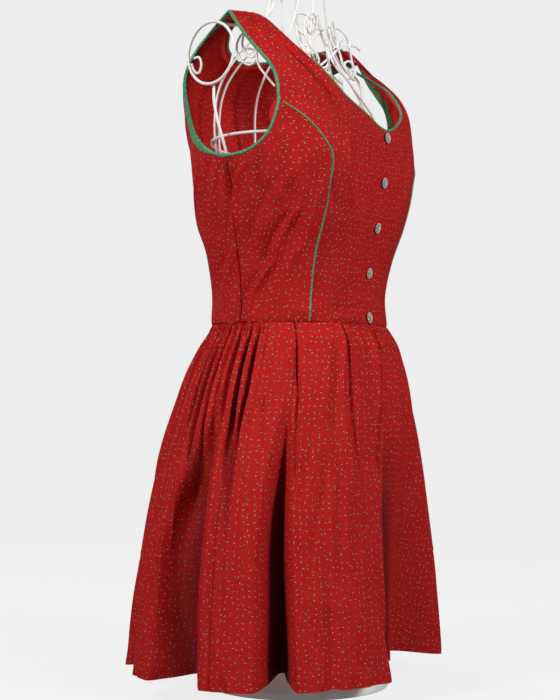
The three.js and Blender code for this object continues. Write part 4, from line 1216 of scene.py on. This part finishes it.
def button_form():
    """One rosette, facing +Z with its back at the origin, in metres."""
    silver = antique_silver()
    base = round_bar("rosette", 40, BUTTON_RADIUS * 0.93 * MM, 1.2 * MM, 0.7 * MM)
    steps = ((1.2, 0.9), (1.3, 0.35), (1.4, -0.3))
    inset_top(base, [(inwards * MM, up * MM) for inwards, up in steps])
    base.data.materials.append(tarnished_silver())
    parts = [base]

    def ball(radius, spot, segments=8, rings=5):
        bpy.ops.mesh.primitive_uv_sphere_add(
            segments=segments, ring_count=rings, radius=radius * MM, location=spot)
        parts.append(bpy.context.object)

    def ring(radius, thick, spot, segments, sides, lean=(0.0, 0.0, 0.0)):
        bpy.ops.mesh.primitive_torus_add(
            major_radius=radius * MM, minor_radius=thick * MM, major_segments=segments,
            minor_segments=sides, location=spot, rotation=lean)
        parts.append(bpy.context.object)

    def spots(count, radius, height):
        for i in range(count):
            angle = 2 * math.pi * i / count
            yield angle, (radius * math.cos(angle) * MM, radius * math.sin(angle) * MM, height * MM)

    for radius, thick, height in ((6.3, 0.5, 1.7), (3.3, 0.42, 2.9)):
        ring(radius, thick, (0, 0, height * MM), 36, 8)
    for count, radius, size, height in ((22, 6.85, 0.62, 1.35), (10, 2.3, 0.55, 3.2)):
        for _, spot in spots(count, radius, height):
            ball(size, spot)
    for angle, spot in spots(7, 4.7, 2.35):
        ring(1.15, 0.36, spot, 16, 6, (0.0, 0.28, angle))
        ball(0.5, spot)
    ball(1.45, (0, 0, 3.2 * MM), 16, 8)
    bpy.ops.object.select_all(action="DESELECT")
    for part in parts:
        if part is not base:
            part.data.materials.append(silver)
        part.select_set(True)
    bpy.context.view_layer.objects.active = base
    bpy.ops.object.join()
    bpy.ops.object.transform_apply(location=True, rotation=True, scale=True)
    shaded(base, 40)
    return base


rosette = button_form()
thread = red_thread()
for i in range(5):
    z = np.array(BUTTON_TOP - i * BUTTON_PITCH)
    out = bodice_normal(np.array(0.0), z)
    seat = bodice_point(np.array(0.0), z) + out * BUTTON_LIFT
    placed = Vector(out).to_track_quat("Z", "Y").to_matrix().to_4x4()
    placed.translation = Vector(seat) * MM
    data = rosette.data.copy()
    data.transform(placed)
    belongs(new_object(f"button_{i + 1}_rosette", data), f"button_{i + 1}")
    slit_z = np.full(16, float(z))
    slit_turn = turn_at(np.linspace(-10.0, 3.0, 16), slit_z)
    normals = bodice_normal(slit_turn, slit_z)
    slit = bodice_point(slit_turn, slit_z) + normals * bodice_relief(slit_turn, slit_z)[:, None]
    buttonhole = strip_object(
        f"buttonhole_{i + 1}", (slit, normals), rounded(0.9, 0.45, -0.15, 5), 1, False, thread)
    belongs(buttonhole)
bpy.data.objects.remove(rosette)

# The dress form: white powder-coated steel wire, ribs and hoops welded into a
# torso, with scrolls at the neck, rings at the armholes, and a pole on a
# round weighted foot.
WIRE = 2.0
FORM = np.array([
    (440, 122, 102, 104), (498, 120, 98, 96), (540, 118, 94, 93), (600, 124, 101, 99),
    (680, 138, 116, 106), (750, 146, 118, 110), (800, 144, 100, 112), (850, 122, 62, 98),
    (890, 90, 44, 62), (915, 70, 42, 46), (940, 56, 42, 44), (974, 46, 40, 42),
])
RIB_HEIGHTS = [448, 498, 540, 600, 660, 720, 780, 830, 865, 890, 912, 940, 968]
SIDE_RIB_HEIGHTS = [450, 500, 560, 640, 720, 780, 804]
SHOULDER_WIRE = [
    (56, 0, 950), (72, 2, 925), (100, 5, 905), (125, 12, 898), (144, 16, 894), (169, 20, 891),
]
SCROLL = [
    (3, 20), (7, 15), (2, 9), (-7, 12), (-11, 24), (-4, 36), (8, 36), (14, 24), (12, 8), (2, -10),
    (-7, -22), (-6, -35), (4, -41), (12, -35), (11, -25), (4, -24),
]
RIB_CLEARANCE = 4.9
ARM_RING_X = 173.0
ARM_RING_Y = 33.0
ARM_RING_UP = 853.0
ARM_RING_RADIUS = 41.0
ARM_RING_LEAN = math.radians(10)
FOOT_TOP = 0.010
POLE_LENGTH = 0.4317
POLE_MIDDLE = 0.22615
# Scrolls and curls as (across, up) in mm: at the neck in an upright plane turned a little to
# the wearer's right, then at the shoulder in a plane that faces the side, then inside the ring.
CURL_PLANE_TURN = -30.0
NECK_CURLS = [
    [(0, 924), (3, 921), (6, 915), (4, 910), (-3, 911), (-9, 917), (-13, 925), (-11, 934), (-4, 938),
     (8, 936), (22, 923), (33, 906), (39, 890), (42, 876), (46, 860), (53, 844), (62, 834)],
    [(-13, 925), (-11, 915), (-7, 899), (3, 884), (21, 869), (46, 856), (65, 845)],
    [(5, 892), (29, 916), (48, 928)],
    [(39, 890), (40, 911), (46, 922), (56, 924), (68, 918), (75, 907), (75, 898), (70, 894), (65, 895),
     (62, 902), (66, 907)],
    [(77, 907), (80, 884), (85, 862), (80, 855), (70, 856), (58, 865), (46, 880), (41, 892)],
    [(24, 876), (22, 884), (16, 891), (10, 893), (8, 888), (11, 878), (22, 867), (34, 865), (41, 870),
     (42, 886)],
    [(29, 868), (46, 882), (63, 897), (83, 902), (96, 897)],
    [(83, 866), (73, 867), (69, 873), (73, 878), (79, 878), (84, 870), (88, 860)],
]
SIDE_CURL_X = 120.0
SIDE_CURLS = [
    [(3, 891), (12, 882), (16, 871), (12, 857), (3, 847), (-6, 844), (-14, 849), (-16, 858), (-12, 872)],
    [(3, 866), (-7, 865), (-13, 861), (-12, 855), (-6, 854), (2, 862), (7, 872), (5, 886)],
    [(-12, 872), (-15, 857), (-19, 842), (-30, 827), (-44, 811)],
]
RING_CURL = [(30, 850), (22, 850), (18, 844), (19, 833), (23, 829), (30, 833), (35, 843)]


def powder_coat():
    material, tree, shader = new_material("white_powder_coat")
    place = put(tree, "ShaderNodeTexCoord").outputs["Object"]
    peel = noise(tree, place, 700.0, 3.0)
    share = stretch(tree, noise(tree, place, 28.0), 0.4, 0.75)
    colour = blend_colour(tree, share, (0.86, 0.85, 0.82, 1), (0.76, 0.74, 0.70, 1))
    coat(tree, shader, colour, stretch(tree, peel, 0.3, 0.7, 0.3, 0.46))
    bump(tree, shader, peel, 0.35, 0.0002)
    # Painted light: a faint glow keeps the white wire bright where it stands in shade.
    set_values(shader, Emission_Color=(1.0, 0.99, 0.97, 1), Emission_Strength=0.1)
    return material


white = powder_coat()


def form_point(turn, z, inset=0.0):
    angle = math.radians(turn)
    width = float(along(FORM, z, 1)) - inset
    depth = float(along(FORM, z, 2 if math.cos(angle) > 0 else 3)) - inset
    return (width * math.sin(angle), -depth * math.cos(angle), float(z))


def round_wire(name, points, closed=False, radius=WIRE, node=None, thin_above=0.0):
    """A smooth round wire along points in mm."""
    curve = bpy.data.curves.new(name, "CURVE")
    curve.dimensions = "3D"
    curve.bevel_depth = radius * MM
    curve.bevel_resolution = 3
    curve.use_fill_caps = not closed
    curve.resolution_u = 6
    spline = curve.splines.new("BEZIER")
    spline.bezier_points.add(len(points) - 1)
    for handle, point in zip(spline.bezier_points, points):
        handle.co = Vector(point) * MM
        handle.radius = 1.0 - thin_above * float(smooth((point[2] - 840) / 50))
        handle.handle_left_type = handle.handle_right_type = "AUTO"
    spline.use_cyclic_u = closed
    line = new_object(name, curve)
    bpy.context.view_layer.objects.active = line
    line.select_set(True)
    bpy.ops.object.convert(target="MESH")
    line = bpy.context.object
    line.data.materials.append(white)
    bpy.ops.object.shade_smooth()
    line.select_set(False)
    belongs(line, node)


def in_arm_ring(side, across, up):
    return (side * (ARM_RING_X - across * math.sin(ARM_RING_LEAN)),
            ARM_RING_Y + across * math.cos(ARM_RING_LEAN), up)


for i, z in enumerate((444, 748)):
    ring = [form_point(360 * k / 28, z) for k in range(28)]
    round_wire(f"hoop_{i + 1}", ring, True, node=f"form_hoop_{i + 1}")
round_wire("neck_ring", [form_point(18 * k, 974) for k in range(20)], True, node="form_neck_ring")
for i, turn in enumerate((36, 126, 216, 306)):
    edge = Vector(form_point(turn, 444, RIB_CLEARANCE))
    hub = Vector((edge.x, edge.y, 0)).normalized() * 10.3
    line = [(hub.x, hub.y, 412), (edge.x, edge.y, 444)]
    round_wire(f"spoke_{i + 1}", line, node=f"form_spoke_{i + 1}")
for side, hand in ((-1, "right"), (1, "left")):
    for i, turn in enumerate((20, 52, 128, 160)):
        line = [form_point(turn * side, z, RIB_CLEARANCE) for z in RIB_HEIGHTS]
        name = f"rib_{hand}_{i + 1}"
        round_wire(name, line, radius=1.8, node=f"form_{name}", thin_above=0.2)
    ring = []
    for k in range(18):
        across = ARM_RING_RADIUS * math.cos(math.pi * k / 9)
        up = ARM_RING_RADIUS * math.sin(math.pi * k / 9)
        ring.append(in_arm_ring(side, across, ARM_RING_UP + up))
    round_wire(f"arm_ring_{hand}", ring, True, node=f"form_arm_ring_{hand}")
    line = []
    for z in SIDE_RIB_HEIGHTS:
        f = float(smooth((z - 640) / 160))
        x, y, _ = form_point(96 * side, min(z, 800), RIB_CLEARANCE)
        line.append((x + (side * ARM_RING_X - x) * f * 0.8, y + (ARM_RING_Y - y) * f, z + 6 * f))
    round_wire(f"side_rib_{hand}", line, node=f"form_side_rib_{hand}")
    line = [(x * side, y, z) for x, y, z in SHOULDER_WIRE]
    round_wire(f"shoulder_{hand}", line, node=f"form_shoulder_{hand}")
    for i, curl in enumerate(SIDE_CURLS):
        line = [(side * SIDE_CURL_X, 10 + across, up) for across, up in curl]
        round_wire(f"shoulder_curl_{hand}_{i + 1}", line, radius=1.6)
    round_wire(f"ring_curl_{hand}", [in_arm_ring(side, *place) for place in RING_CURL], radius=1.6)
    line = [form_point(side * (25 + a * 0.7), 890 + up, -2.7) for a, up in SCROLL]
    round_wire(f"scroll_{hand}", line, radius=1.7, node=f"form_scroll_{hand}")

plane_turn = math.radians(CURL_PLANE_TURN)
for i, curl in enumerate(NECK_CURLS):
    line = [(a * math.cos(plane_turn), -8 + a * math.sin(plane_turn), up) for a, up in curl]
    round_wire(f"neck_curl_{i + 1}", line, radius=1.7)

foot = round_bar("foot_plate", 96, 0.125, FOOT_TOP, FOOT_TOP / 2)
bpy.ops.object.transform_apply(location=True)
inset_top(foot, ((0.004, 0), (0.085, 0)))
applied(foot, "rim", "BEVEL", width=0.002, segments=3)
pole = round_bar("pole_tube", 32, 0.008, POLE_LENGTH, POLE_MIDDLE)
bpy.ops.object.transform_apply(location=True)
for thing, node in ((foot, "form_foot"), (pole, "form_pole")):
    thing.data.materials.append(white)
    shaded(thing, 35)
    belongs(thing, node)
